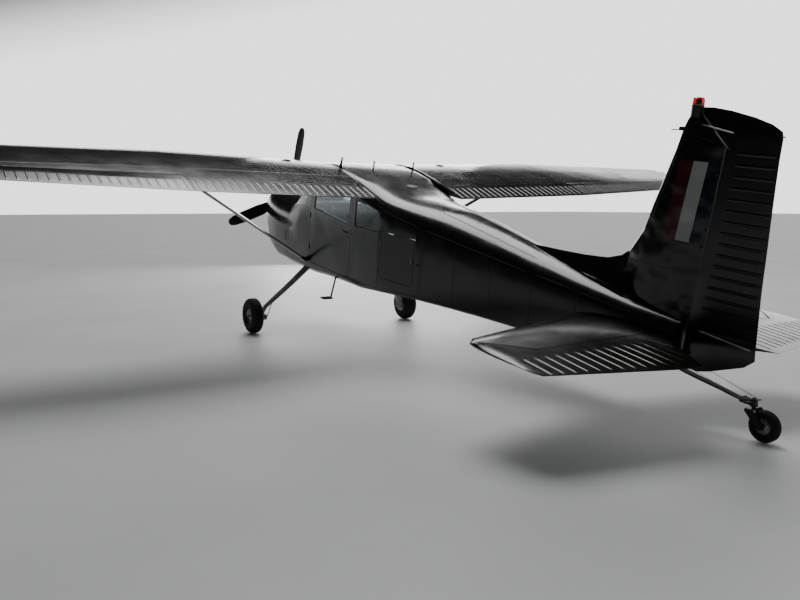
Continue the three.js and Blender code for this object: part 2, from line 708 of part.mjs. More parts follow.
function makeAntennas() {
  const { root, tip, radius } = whisker;
  const { x, z, reach, drop } = finProbe;
  const whole = loft(finSections.map(finOutline));
  for (const [name, side] of [['left', 1], ['right', -1]]) {
    const rod = bar([root.x, side * root.y, root.z], [tip.x, side * tip.y, tip.z], radius, 8);
    add(`whisker_${name}`, rod.subtract(whole.translate(0, side * meshGap, 0)), steel);
  }
  const block = box([x - 20, -16, z - 14], [x + 30, 16, z + 14]);
  const rod = bar([x, 0, z], [x + reach, 0, z - drop], 4, 8);
  add('fin_probe', block.add(rod).subtract(whole.translate(meshGap, 0, 0)), blackPaint);
  const masts = rows(['x', 'y', 'height', 'chord', 'rake'], [
    [-1270, 500, 125, 56, 40],
    [-1080, -70, 50, 26, 8],
    [-1300, -500, 100, 24, 10],
  ]);
  const sunk = 20;
  masts.forEach((mast, i) => {
    const foot = deckHeight(mast.x, mast.y) - sunk;
    const top = foot + sunk + mast.height;
    const fore = mast.x + mast.chord / 2;
    const aft = mast.x - mast.chord / 2;
    const blade = prism([[fore, foot], [aft + 12 - mast.rake / 2, top], [aft - mast.rake / 2, top], [aft, foot]],
      'xz', mast.y - 6, mast.y + 6);
    add(`roof_mast_${i + 1}`, blade.subtract(cabinOuter.translate(0, 0, meshGap)), blackPaint);
  });
}

// Pitot tube below the port wing
function makePitot() {
  const place = { x: -1000, y: 2860 };
  const top = wingMean(place.x, place.y);
  const drop = 190;
  const mast = bar([place.x, place.y, top], [place.x + 30, place.y, top - drop], 11, 10);
  const tube = bar([place.x + 10, place.y, top - drop], [place.x + 260, place.y, top - drop], 9, 10);
  const wing = loft(wingSections.map(section => wingOutline(section, 1))).translate(0, 0, -meshGap);
  add('pitot_tube', mast.add(tube).subtract(wing), steel);
}

// Main gear: flat spring leg, axle and brake on each side
const legColumns = ['x', 'y', 'z', 'width', 'thickness'];
const legSections = rows(legColumns, [
  [-552, 440, 106, 160, 24],
  [-538, 493, 47, 156, 24],
  [-480, 695, -177, 138, 22],
  [-420, 897, -384, 118, 20],
  [-391, 1000, -487, 104, 18],
  [-381, 1034, -560, 96, 18],
  [-379, 1037, -650, 92, 18],
]);

function legOutline(section, i, side) {
  const before = legSections[Math.max(i - 1, 0)];
  const after = legSections[Math.min(i + 1, legSections.length - 1)];
  const outward = new THREE.Vector2(before.z - after.z, after.y - before.y).normalize();
  const corners = [[0.5, 0.2], [0.36, 0.5], [-0.36, 0.5], [-0.5, 0.2], [-0.5, -0.2], [-0.36, -0.5],
    [0.36, -0.5], [0.5, -0.2]];
  return corners.map(([along, across]) => new THREE.Vector3(
    section.x + along * section.width,
    side * (section.y + across * section.thickness * outward.x),
    section.z + across * section.thickness * outward.y,
  ));
}

function makeMainGear(name, side) {
  const leg = loft(legSections.map((section, i) => legOutline(section, i, side)));
  const axle = bar([mainAxle.x, side * 1020, mainAxle.z], [mainAxle.x, side * (mainAxle.y + 52), mainAxle.z],
    axleRadius, 16);
  const flange = bar([mainAxle.x, side * 1030, mainAxle.z], [mainAxle.x, side * 1056, mainAxle.z], 44, 16);
  const caliper = box([mainAxle.x - 118, Math.min(side * 1020, side * 1062), mainAxle.z - 34],
    [mainAxle.x - 20, Math.max(side * 1020, side * 1062), mainAxle.z + 34]);
  const fuselage = cabinOuter.translate(0, side * meshGap, -meshGap);
  add(`gear_leg_${name}`, joined([leg, axle, flange, caliper]).subtract(fuselage), greyPaint);
  const y = side * mainAxle.y;
  const hub = (r, offset) => [r, -side * offset];
  const rim = turned([hub(axleRadius + 1, 84), hub(104, 84), hub(104, 90 - 14), hub(62, 74), hub(62, 60),
    hub(mainRimRadius, 52), hub(mainRimRadius - 8, 30), hub(mainRimRadius - 8, -30), hub(mainRimRadius, -52),
    hub(58, -46), hub(40, -58), hub(axleRadius + 1, -58)], rimSides, [mainAxle.x, y, mainAxle.z]);
  add(`wheel_rim_${name}`, rim, aluminium);
  const tyre = tyreProfile(mainRimRadius, mainTyreRadius, mainTyreHalfWidth);
  add(`tyre_${name}`, turned(tyre, tyreSides, [mainAxle.x, y, mainAxle.z]), rubber);
}

function tyreProfile(rimRadius, radius, halfWidth) {
  const inner = rimRadius * Math.cos(Math.PI / tyreSides) / Math.cos(Math.PI / rimSides) + 1;
  const depth = radius - inner;
  const half = [[0, 0.62], [0.3, 0.95], [0.6, 1], [0.88, 0.74], [1, 0.36]];
  const outer = half.map(([up, across]) => [inner + depth * up, halfWidth * across]);
  return [...outer, ...outer.map(([r, y]) => [r, -y]).reverse()];
}

// Tail wheel: leaf spring, bracket, castoring fork and wheel, the last two upright on the ground and set
// out from the foot of the kingpin
function plumb(solid) {
  return solid.rotate([0, THREE.MathUtils.radToDeg(parkedPitch), 0]).translate(kingpin.x, 0, kingpin.z);
}

function plumbPoint(forward, up) {
  return [
    kingpin.x + forward * Math.cos(parkedPitch) + up * Math.sin(parkedPitch),
    0,
    kingpin.z - forward * Math.sin(parkedPitch) + up * Math.cos(parkedPitch),
  ];
}

function makeTailGear() {
  const under = x => between(fuselageSections, 'x', x).belly - 1 - meshGap;
  const leafSections = rows(['x', 'top', 'width', 'thickness'], [
    [-5560, under(-5560), 56, 22],
    [-5835, under(-5835), 54, 20],
    [-5990, 287, 52, 18],
    [-6200, 266, 48, 16],
    [-6436, 236, 44, 14],
  ]);
  const leaf = loft(leafSections.map(s => [[0.5, 0], [0.5, -1], [-0.5, -1], [-0.5, 0]].map(([across, up]) => (
    new THREE.Vector3(s.x, across * s.width, s.top + up * s.thickness)
  ))));
  add('tail_spring', leaf, steel);
  const barrel = plumb(bar([0, 0, 16], [0, 0, 68], 25, 16));
  const arm = plumb(box([-8, -74, 48], [22, 74, 56]));
  const clamp = box([-6462, -28, 221], [-6372, 28, 256]);
  const spring = leaf.translate(0, 0, meshGap);
  add('tail_bracket', joined([barrel, clamp, arm]).subtract(spring).subtract(leaf), blackPaint);
  const crown = plumb(box([-16, -60, -12], [34, 60, 6]));
  const pin = plumb(bar([0, 0, 0], [0, 0, 13], 16, 12));
  const cheeks = [1, -1].map(side => plumb(prism(
    [[34, 6], [-22, 6], [tailTrail - 19, -88], [tailTrail - 23, -124], [tailTrail + 17, -126], [34, -14]],
    'xz', Math.min(side * 46, side * 60), Math.max(side * 46, side * 60))));
  const axle = plumb(bar([tailTrail, -64, -tailDrop], [tailTrail, 64, -tailDrop], 9, 12));
  add('tail_fork', joined([crown, ...cheeks, axle, pin]), blackPaint);
  const centre = plumbPoint(tailTrail, -tailDrop);
  const rim = turned([[10, 40], [24, 40], [24, 30], [tailRimRadius, 22], [tailRimRadius - 6, 0],
    [tailRimRadius, -22], [24, -30], [24, -40]], rimSides, centre);
  add('tail_rim', rim, aluminium);
  add('tail_tyre', turned(tyreProfile(tailRimRadius, tailTyreRadius, tailTyreHalfWidth), tyreSides, centre), rubber);
}

// Boarding steps under the doors
const step = { x: -1300, rootY: 496, rootZ: 70, elbowY: 551, elbowZ: -187, tipY: 671, halfWidth: 42 };

function makeStep(name, side) {
  const { x, rootY, rootZ, elbowY, elbowZ, tipY, halfWidth } = step;
  const rod = bar([x, side * rootY, rootZ], [x, side * elbowY, elbowZ], 11, 10);
  const ends = [side * (elbowY - 8), side * tipY];
  const plate = box([x - halfWidth, Math.min(...ends), elbowZ - 8], [x + halfWidth, Math.max(...ends), elbowZ + 8]);
  const fuselage = cabinOuter.translate(0, side * meshGap, -meshGap);
  add(`step_${name}`, rod.add(plate).subtract(fuselage), blackPaint);
}

// Cabin fittings
const panel = { x: -330, thickness: 14, halfWidth: 440, bottom: 560, top: 838 };

function makePanel() {
  const face = box([panel.x - panel.thickness, -panel.halfWidth, panel.bottom],
    [panel.x, panel.halfWidth, panel.top]);
  const shade = prism([[-120, 230], [-120, -230], [-372, -panel.halfWidth], [-372, panel.halfWidth]], 'xy',
    panel.top - 6, panel.top + 8);
  const yokes = [235, -235].flatMap(y => [
    bar([panel.x + 5, y, 655], [panel.x - 230, y, 668], 11, 10),
    box([panel.x - 238, y - 125, 655], [panel.x - 216, y + 125, 680]),
    box([panel.x - 238, y - 125, 655], [panel.x - 216, y - 100, 790]),
    box([panel.x - 238, y + 100, 655], [panel.x - 216, y + 125, 790]),
  ]);
  add('instrument_panel', joined([face, shade, ...yokes]), blackPaint);
}

function makeSeat(name, centre, halfWidth, shape) {
  const { front, back, seatTop, cushion, top, lean } = shape;
  const profile = [
    [front, seatTop], [front, seatTop - cushion], [back - 40, seatTop - cushion], [back - 100 - lean, top],
    [back - lean, top], [back, seatTop],
  ];
  const seat = prism(profile, 'xz', centre - halfWidth, centre + halfWidth);
  const foot = floorHeight(back) + meshGap * 2;
  const legs = [front - 60, back + 20].flatMap(x => [-1, 1].map(side => (
    box([x - 14, centre + side * (halfWidth - 70) - 14, foot],
      [x + 14, centre + side * (halfWidth - 70) + 14, seatTop - cushion + 20])
  )));
  add(name, joined([seat, ...legs]), seatCloth);
}

makeCabin();
makeDoor('left', 1);
makeDoor('right', -1);
add('baggage_door', cabinSkin.intersect(sideCut(baggageDoorOutline, 1)), paint);
const tailCone = makeTailCone();
add('tail_cone', tailCone, paint);
makeCowl();
makeEngine();
makeSpinner();
for (let blade = 0; blade < 3; blade++) makeBlade(blade);
makeWing('left', 1);
makeWing('right', -1);
makeElevator([makeTailplane('left', 1), makeTailplane('right', -1)]);
makeFin();
makeBeacon();
makeAntennas();
makePitot();
makeMainGear('left', 1);
makeMainGear('right', -1);
makeTailGear();
makeStep('left', 1);
makeStep('right', -1);
makePanel();
const frontSeat = { front: -1010, back: -1420, seatTop: 430, cushion: 110, top: 930, lean: 90 };
makeSeat('seat_left', 262, 212, frontSeat);
makeSeat('seat_right', -262, 212, frontSeat);
makeSeat('rear_seat', 0, 460, { front: -1960, back: -2330, seatTop: 450, cushion: 110, top: 880, lean: 90 });

// Hinge lines in the airframe's frame, each a point and a direction
const flapAxis = side => ({
  at: [flapHingeX + flapPivotAhead, side * 560, wingMean(flapHingeX, 560) - flapPivotDrop],
  along: [0, 1, side * dihedral],
});
const aileronAxis = side => ({
  at: [aileronInboard.x, side * aileronInboard.y, wingMean(aileronInboard.x, aileronInboard.y)],
  to: [aileronOutboard.x, side * aileronOutboard.y, wingMean(aileronOutboard.x, aileronOutboard.y)],
});
airframe.userData.hinges = {
  propeller: { at: [propeller.x, 0, propeller.z], along: [1, 0, 0] },
  wheel_left: { at: [mainAxle.x, mainAxle.y, mainAxle.z], along: [0, 1, 0] },
  wheel_right: { at: [mainAxle.x, -mainAxle.y, mainAxle.z], along: [0, 1, 0] },
  tail_swivel: { at: plumbPoint(0, 0), along: [Math.sin(parkedPitch), 0, Math.cos(parkedPitch)] },
  tail_wheel: { at: plumbPoint(tailTrail, -tailDrop), along: [0, 1, 0] },
  door_left: { at: [doorHinge.x, doorHinge.y, 600], along: [0, 0, 1] },
  door_right: { at: [doorHinge.x, -doorHinge.y, 600], along: [0, 0, 1] },
  baggage_door: { at: [baggageHinge.x, baggageHinge.y, 530], along: [0, 0, 1] },
  flap_left: flapAxis(1),
  flap_right: flapAxis(-1),
  aileron_left: aileronAxis(1),
  aileron_right: aileronAxis(-1),
  elevator: { at: [elevatorHingeX, 0, tailplaneHeight], along: [0, 1, 0] },
  rudder: {
    at: [rudderHingeLow.x, 0, rudderHingeLow.z],
    to: [rudderHingeHigh.x, 0, rudderHingeHigh.z],
  },
};

// Parked attitude, stood on its wheels with the origin below the middle of its box
airframe.rotation.y = -parkedPitch;
airframe.updateMatrixWorld(true);
const extent = new THREE.Box3().setFromObject(airframe, true);
airframe.position.set(-(extent.min.x + extent.max.x) / 2, 0, -extent.min.z);

const aircraft = new THREE.Group();
aircraft.add(airframe);
export default aircraft;
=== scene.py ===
import json
import math

import bmesh
import bpy
from mathutils import Matrix, Vector
from mathutils.bvhtree import BVHTree


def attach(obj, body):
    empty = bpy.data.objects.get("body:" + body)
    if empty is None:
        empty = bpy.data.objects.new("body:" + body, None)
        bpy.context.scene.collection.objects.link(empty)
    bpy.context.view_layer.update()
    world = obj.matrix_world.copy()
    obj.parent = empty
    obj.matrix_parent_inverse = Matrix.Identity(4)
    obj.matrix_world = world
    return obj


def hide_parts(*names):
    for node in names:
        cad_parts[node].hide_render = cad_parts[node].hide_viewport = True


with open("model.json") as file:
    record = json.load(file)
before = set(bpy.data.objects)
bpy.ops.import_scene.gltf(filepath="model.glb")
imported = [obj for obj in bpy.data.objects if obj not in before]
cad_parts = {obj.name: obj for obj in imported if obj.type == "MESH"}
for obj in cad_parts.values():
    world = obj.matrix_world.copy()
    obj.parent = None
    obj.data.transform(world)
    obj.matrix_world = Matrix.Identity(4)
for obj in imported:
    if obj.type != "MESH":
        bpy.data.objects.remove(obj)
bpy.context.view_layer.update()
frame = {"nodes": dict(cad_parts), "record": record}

# The airframe's level frame (mm, x forward from the firewall, y left, z up from the belly) as it is parked
parkedPitch = math.radians(7.5)
airframeAt = (2.6903, 0, 0.8652)
levelToFrame = (Matrix.Translation(airframeAt) @ Matrix.Rotation(-parkedPitch, 4, 'Y')
                @ Matrix.Scale(0.001, 4))
frameToLevel = levelToFrame.inverted()
bodyOf = {node: body for body, nodes in frame["record"]["behaviour"]["bodies"].items() for node in nodes}

leftRight = ((1, "left"), (-1, "right"))

print("camera, floor and lights")
view = {"place": (-6.7782, 4.8871, 1.6115), "yaw": -33.03, "pitch": -6.98, "focal": 770.2, "imageWidth": 800}


def makeCamera():
    camera = bpy.data.cameras.new("photoCamera")
    camera.sensor_width = 36
    camera.lens = view["focal"] / view["imageWidth"] * camera.sensor_width
    camera.clip_end = 500
    holder = bpy.data.objects.new("photoCamera", camera)
    bpy.context.collection.objects.link(holder)
    yaw, pitch = math.radians(view["yaw"]), math.radians(view["pitch"])
    forward = Vector((math.cos(pitch) * math.cos(yaw), math.cos(pitch) * math.sin(yaw), math.sin(pitch)))
    holder.location = view["place"]
    holder.rotation_euler = forward.to_track_quat('-Z', 'Y').to_euler()
    bpy.context.scene.camera = holder


def linear(code):
    # sRGB hex to the linear values that the shaders take
    parts = [int(code[i:i + 2], 16) / 255 for i in (1, 3, 5)]
    return tuple(v / 12.92 if v <= 0.04045 else ((v + 0.055) / 1.055) ** 2.4 for v in parts) + (1.0,)


def addNode(tree, kind, settings=None, links=None):
    # One node with its settings, inputs by name or number, and the outputs that feed it
    node = tree.nodes.new(kind)
    for key, value in (settings or {}).items():
        if isinstance(key, int) or key in node.inputs:
            node.inputs[key].default_value = value
        elif key == "stops":
            for i, (place, colour) in enumerate(value):
                stop = node.color_ramp.elements[i] if i < 2 else node.color_ramp.elements.new(place)
                stop.position = place
                stop.color = colour
        else:
            setattr(node, key, value)
    for key, source in (links or {}).items():
        tree.links.new(source, node.inputs[key])
    return node


def noise(tree, spot, scale, detail, roughness=0.5):
    node = addNode(tree, "ShaderNodeTexNoise", {"Scale": scale, "Detail": detail, "Roughness": roughness},
                   {"Vector": spot})
    return node.outputs[0]


def mapRange(tree, value, low, high, toLow=0.0, toHigh=1.0, kind='LINEAR'):
    node = addNode(tree, "ShaderNodeMapRange", {
        "interpolation_type": kind, "From Min": low, "From Max": high, "To Min": toLow, "To Max": toHigh,
    }, {"Value": value})
    return node.outputs[0]


def maths(tree, kind, first, second):
    # One sum of two values, each a number or another node's output
    node = addNode(tree, "ShaderNodeMath", {"operation": kind})
    for i, value in enumerate((first, second)):
        if isinstance(value, (int, float)):
            node.inputs[i].default_value = value
        else:
            tree.links.new(value, node.inputs[i])
    return node.outputs[0]


def blend(tree, share, first, second):
    # Two colours mixed by a share, each a hex code or another node's output
    node = addNode(tree, "ShaderNodeMix", {"data_type": 'RGBA'}, {0: share})
    for key, colour in ((6, first), (7, second)):
        if isinstance(colour, str):
            node.inputs[key].default_value = linear(colour)
        else:
            tree.links.new(colour, node.inputs[key])
    return node.outputs[2]


def bump(tree, height, strength, distance, under=None):
    links = {"Height": height}
    if under:
        links["Normal"] = under
    node = addNode(tree, "ShaderNodeBump", {"Strength": strength, "Distance": distance}, links)
    return node.outputs[0]


def newMaterial(name):
    # A bare material, its node tree and its texture coordinates
    material = bpy.data.materials.new(name)
    material.use_nodes = True
    tree = material.node_tree
    tree.nodes.clear()
    place = addNode(tree, "ShaderNodeTexCoord")
    return material, tree, place.outputs["Object"]


def closeMaterial(tree, settings, links):
    shader = addNode(tree, "ShaderNodeBsdfPrincipled", settings, links)
    addNode(tree, "ShaderNodeOutputMaterial", links={"Surface": shader.outputs[0]})


def paintedFloor():
    material, tree, spot = newMaterial("floorPale")
    stops = [(0.35, linear("#cfd0d1")), (0.7, linear("#d9dadb"))]
    tone = addNode(tree, "ShaderNodeValToRGB", {"stops": stops}, {"Fac": noise(tree, spot, 0.6, 4.0)})
    closeMaterial(tree, {"Roughness": 0.5}, {"Base Color": tone.outputs[0]})
    return material


def makeFloor():
    bm = bmesh.new()
    bmesh.ops.create_grid(bm, x_segments=1, y_segments=1, size=150)
    mesh = bpy.data.meshes.new("floor")
    bm.to_mesh(mesh)
    bm.free()
    floor = bpy.data.objects.new("floor", mesh)
    bpy.context.collection.objects.link(floor)
    floor.location.z = -0.001
    mesh.materials.append(paintedFloor())


lamps = {
    "sky light": {"kind": 'SUN', "place": (5, -3, 10), "aim": (0, 0, 0), "size": 35, "power": 1.5},
    "open door light": {"kind": 'AREA', "place": (11, -6, 3.6), "aim": (0, 0, 1.2), "size": 6, "power": 480},
    "side fill": {"kind": 'AREA', "place": (-4, 12, 5), "aim": (-1, 0, 1.2), "size": 6, "power": 35},
    "rear fill": {"kind": 'AREA', "place": (-10, -4, 5), "aim": (-2, 0, 1.2), "size": 6, "power": 60},
}
studio = {"bright": "#ffffff", "dim": "#5a5e61", "roof": "#141516", "strength": 2.1,
          "way": (0.84, -0.54, 0.0), "turn": (0.15, 0.85), "lift": (0, 0.25, 1), "low": 0.11, "high": 0.23}


def makeLights():
    for name, lamp in lamps.items():
        light = bpy.data.lights.new(name, lamp["kind"])
        if lamp["kind"] == 'SUN':
            light.angle = math.radians(lamp["size"])
        else:
            light.size = lamp["size"]
        light.energy = lamp["power"]
        holder = bpy.data.objects.new(name, light)
        holder.location = lamp["place"]
        aim = Vector(lamp["aim"]) - Vector(lamp["place"])
        holder.rotation_euler = aim.to_track_quat('-Z', 'Y').to_euler()
        bpy.context.collection.objects.link(holder)
    # A surround that is brighter ahead of the nose than behind the tail, under a dark roof
    world = bpy.data.worlds.new("studio")
    world.use_nodes = True
    bpy.context.scene.world = world
    tree = world.node_tree
    way = addNode(tree, "ShaderNodeTexCoord").outputs["Generated"]

    def dot(direction):
        node = addNode(tree, "ShaderNodeVectorMath", {"operation": 'DOT_PRODUCT', 1: direction}, {0: way})
        return node.outputs["Value"]

    ahead = mapRange(tree, dot(studio["way"]), *studio["turn"], kind='SMOOTHSTEP')
    around = blend(tree, ahead, studio["dim"], studio["bright"])
    overhead = mapRange(tree, dot(studio["lift"]), studio["low"], studio["high"], kind='SMOOTHSTEP')
    tone = blend(tree, overhead, around, studio["roof"])
    sky = tree.nodes["Background"]
    sky.inputs["Strength"].default_value = studio["strength"]
    tree.links.new(tone, sky.inputs["Color"])


makeCamera()
makeFloor()
makeLights()

print("finishes")
sheetWave = 2.6  # waves a metre in the thin skin between its frames


def enamel(name, colour, worn, roughness, dust, dents=0.18, dentScale=sheetWave, flash=False):
    # Sprayed enamel on thin aluminium sheet: slight waves, chalky where the weather gets at it
    material, tree, spot = newMaterial(name)
    cloud = noise(tree, spot, 3.5, 6.0, 0.6)
    run = addNode(tree, "ShaderNodeMapping", {"Scale": (5, 5, 0.7)}, {"Vector": spot})
    streak = noise(tree, run.outputs[0], 4.0, 4.0)
    body = blend(tree, mapRange(tree, cloud, 0.42, 0.78, 0.0, 0.55), colour, worn)
    if flash:
        body = finFlash(tree, spot, body)
    way = addNode(tree, "ShaderNodeNewGeometry")
    upward = addNode(tree, "ShaderNodeSeparateXYZ", links={"Vector": way.outputs["Normal"]})
    lie = mapRange(tree, upward.outputs["Z"], 0.25, 1.0, 0.0, dust)
    sheet = bump(tree, noise(tree, spot, dentScale, 1.0), dents, 0.03)
    grain = bump(tree, noise(tree, spot, 60.0, 5.0, 0.7), 0.012, 0.002, sheet)
    closeMaterial(tree, {"Metallic": 0.0, "Coat Weight": 0.3, "Coat Roughness": 0.1}, {
        "Base Color": blend(tree, maths(tree, 'MULTIPLY', lie, streak), body, "#8a887f"),
        "Roughness": mapRange(tree, cloud, 0.3, 0.7, roughness - 0.03, roughness + 0.06),
        "Normal": grain,
    })
    return material


flashBand = {"front": -5.527, "width": 0.122, "lean": -0.0932, "bottom": 1.243, "top": 1.828,
             "colours": ("#451219", "#a9aca8", "#0b1122")}


def finFlash(tree, spot, body):
    # Three upright bands on the fin, leaning with the hinge line, read in the airframe's level frame
    level = addNode(tree, "ShaderNodeMapping", {"vector_type": 'TEXTURE', "Location": airframeAt,
                                                "Rotation": (0, -parkedPitch, 0)}, {"Vector": spot})
    axes = addNode(tree, "ShaderNodeSeparateXYZ", links={"Vector": level.outputs[0]})
    forward, height = axes.outputs["X"], axes.outputs["Z"]
    bottom, top, width = (flashBand[key] for key in ("bottom", "top", "width"))

    def between(value, low, high):
        return maths(tree, 'MULTIPLY', maths(tree, 'GREATER_THAN', value, low),
                     maths(tree, 'LESS_THAN', value, high))

    leaned = maths(tree, 'MULTIPLY', maths(tree, 'SUBTRACT', height, bottom), flashBand["lean"])
    along = maths(tree, 'SUBTRACT', forward, leaned)
    tall = between(height, bottom, top)
    for i, colour in enumerate(flashBand["colours"]):
        fore = flashBand["front"] - i * width
        inBand = maths(tree, 'MULTIPLY', between(along, fore - width, fore), tall)
        body = blend(tree, inBand, body, colour)
    return body


def metal(name, colour, roughness, grain=(1, 1, 1), wear="#3a3a3a"):
    # Bare metal: milled, cast or sprung, dulled by handling and grime in its lower places
    material, tree, spot = newMaterial(name)
    turn = addNode(tree, "ShaderNodeMapping", {"Scale": grain}, {"Vector": spot})
    scratch = noise(tree, turn.outputs[0], 90.0, 6.0)
    grime = mapRange(tree, noise(tree, spot, 14.0, 5.0), 0.5, 0.8, 0.0, 0.6)
    closeMaterial(tree, {"Metallic": 1.0}, {
        "Base Color": blend(tree, grime, colour, wear),
        "Roughness": mapRange(tree, scratch, 0.0, 1.0, roughness - 0.1, roughness + 0.15),
        "Normal": bump(tree, scratch, 0.15, 0.001),
    })
    return material


def plainCoat(name, colour, worn, roughness, bumpScale=300.0, strength=0.12):
    # Gloss paint, moulding or rubber on a small part: fine grain and a paler bloom in patches
    material, tree, spot = newMaterial(name)
    cloud = noise(tree, spot, 11.0, 6.0, 0.65)
    closeMaterial(tree, {"Metallic": 0.0}, {
        "Base Color": blend(tree, mapRange(tree, cloud, 0.45, 0.75), colour, worn),
        "Roughness": mapRange(tree, cloud, 0.0, 1.0, roughness - 0.07, roughness + 0.12),
        "Normal": bump(tree, noise(tree, spot, bumpScale, 3.0), strength, 0.001),
    })
    return material


def acrylic(name, colour, roughness=0.04):
    # Cast acrylic sheet: clear with a cool tint and a little haze
    material, tree, spot = newMaterial(name)
    haze = noise(tree, spot, 9.0, 5.0)
    closeMaterial(tree, {"Base Color": linear(colour), "Transmission Weight": 1.0, "IOR": 1.49},
                  {"Roughness": mapRange(tree, haze, 0.4, 0.8, roughness, roughness + 0.12)})
    return material


finishes = {
    "skin": enamel("oliveEnamelOnSheet", "#0f110d", "#181a15", roughness=0.2, dust=0.05),
    "fin": enamel("oliveEnamelWithFlash", "#0f110d", "#181a15", roughness=0.17, dust=0.05, dents=0.5,
                  dentScale=5.5, flash=True),
    "cowl": enamel("cowlEnamel", "#1b1e1a", "#2c2f2a", roughness=0.18, dust=0.08),
    "strut": enamel("strutEnamel", "#151713", "#252722", roughness=0.2, dust=0.1),
    "spring": enamel("springEnamel", "#121311", "#24251f", roughness=0.3, dust=0.1),
    "frameGrey": plainCoat("paneFrameEnamel", "#4d504e", "#6d706d", 0.4),
    "grey": plainCoat("greyEnamelOnSteel", "#6f7475", "#8d9191", 0.4),
    "black": plainCoat("blackEnamel", "#101113", "#1e2022", 0.32),
    # A bright bare-metal strip, used as a painted highlight along the rudder's lower lap
    "highlightLap": metal("paintedHighlightStrip", "#c9cccd", 0.35),
    "rubber": plainCoat("tyreRubber", "#141415", "#2a2a29", 0.78, bumpScale=500, strength=0.3),
    "steel": metal("springSteel", "#8a8d8f", 0.42, grain=(1, 6, 6), wear="#4c4a46"),
    "aluminium": metal("castAluminium", "#b4b6b8", 0.45, wear="#6b6a66"),
    "pane": acrylic("acrylicPane", "#c9dce6"),
    "lens": acrylic("redMouldedLens", "#e0221c", 0.08),
    "greenLens": acrylic("greenMouldedLens", "#1f8a55", 0.08),
    "dial": plainCoat("dialEnamel", "#0b0c0d", "#17181a", 0.2),
    "mark": plainCoat("dialMarkEnamel", "#c9c9c4", "#adada6", 0.5),
    "cloth": plainCoat("wovenSeatCloth", "#57534a", "#6a665b", 0.9, bumpScale=700, strength=0.5),
}

slotOf = {
    "skin": "paint", "fin": "paint", "strut": "paint", "highlightLap": "paint", "mark": "paint",
    "cowl": "cowl_paint", "frameGrey": "grey_paint", "grey": "grey_paint", "black": "black_paint",
    "dial": "black_paint",
    "rubber": "tyre", "spring": "steel", "steel": "steel", "aluminium": "cast_aluminium", "pane": "glass",
    "greenLens": "glass", "lens": "red_lens", "cloth": "seat_cloth",
}

print("skins")
creaseAngle = math.radians(28)


def levelCopy(node):
    # A node's mesh merged, in the airframe's level millimetres
    bm = bmesh.new()
    bm.from_mesh(frame["nodes"][node].data)
    bmesh.ops.remove_doubles(bm, verts=bm.verts, dist=1e-5)
    bmesh.ops.transform(bm, matrix=frameToLevel, verts=bm.verts)
    return bm


def putPiece(bm, name, finish, body="root", stands=(), crease=creaseAngle, slot=None):
    # Turns a level-frame bmesh into a finished piece that rides on its body
    bmesh.ops.transform(bm, matrix=levelToFrame, verts=bm.verts)
    for face in bm.faces:
        face.smooth = True
    for edge in bm.edges:
        edge.smooth = len(edge.link_faces) == 2 and edge.calc_face_angle(0) < crease
    mesh = bpy.data.meshes.new(name)
    bm.to_mesh(mesh)
    bm.free()
    mesh.materials.append(finishes[finish])
    piece = bpy.data.objects.new(name, mesh)
    bpy.context.collection.objects.link(piece)
    slot = slot or slotOf[finish]
    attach(piece, body)
    if stands:
        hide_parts(*stands)
    return piece


skins = {
    "skin": ["cabin_shell", "door_left", "door_right", "baggage_door", "tail_cone", "wing_left", "flap_left",
             "aileron_left", "wing_right", "flap_right", "aileron_right", "stabilizer_left",
             "stabilizer_right", "elevator", "rudder"],
    "fin": ["fin"],
    "cowl": ["cowl_upper", "cowl_lower"],
    "grey": ["gear_leg_left", "gear_leg_right"],
    "strut": ["strut_left", "strut_right"],
    "pane": ["windscreen", "rear_glass_left", "rear_glass_right", "door_glass_left", "door_glass_right"],
    "black": ["spinner", "blade_1", "blade_2", "blade_3", "tail_bracket", "tail_fork", "beacon_base",
              "fin_probe", "roof_mast_1", "roof_mast_2", "roof_mast_3", "step_left", "step_right"],
    "spring": ["tail_spring"],
    "steel": ["exhaust", "whisker_left", "whisker_right", "pitot_tube"],
    "aluminium": ["engine_block"],
}
for finish, nodes in skins.items():
    for node in nodes:
        putPiece(levelCopy(node), "dressed_" + node, finish, bodyOf[node], [node])

print("lines and fasteners on the skins")
surfaces = {}
castReach = 260


def surface(node):
    if node not in surfaces:
        bm = levelCopy(node)
        surfaces[node] = BVHTree.FromBMesh(bm)
        bm.free()
    return surfaces[node]


def trace(node, start, end, look, count):
    # Places and outward normals where a line laid over a node lands on its skin
    tree, look = surface(node), Vector(look).normalized()
    start, end = Vector(start), Vector(end)
    hits = []
    for i in range(count + 1):
        spot, normal, _, _ = tree.ray_cast(start.lerp(end, i / count) - look * castReach, look, castReach * 2)
        if spot is not None:
            hits.append((spot, normal if normal.dot(look) < 0 else -normal))
    return hits


def landing(node, place, look):
    # Where one ray lands on a node's skin, with the outward normal there
    hits = trace(node, place, place, look, 1)
    return hits[0]


def ring(node, x, height, first, last, count, out=900):
    # The same round a body at one station, between two angles from straight up
    tree = surface(node)
    hits = []
    for i in range(count + 1):
        angle = math.radians(first + (last - first) * i / count)
        look = -Vector((0, math.sin(angle), math.cos(angle)))
        spot, normal, _, _ = tree.ray_cast(Vector((x, 0, height)) - look * out, look, out)
        if spot is not None:
            hits.append((spot, normal if normal.dot(look) < 0 else -normal))
    return hits


def absorb(bm, part):
    # Adds one finished bmesh to another
    mesh = bpy.data.meshes.new("part")
    part.to_mesh(mesh)
    part.free()
    bm.from_mesh(mesh)
    bpy.data.meshes.remove(mesh)


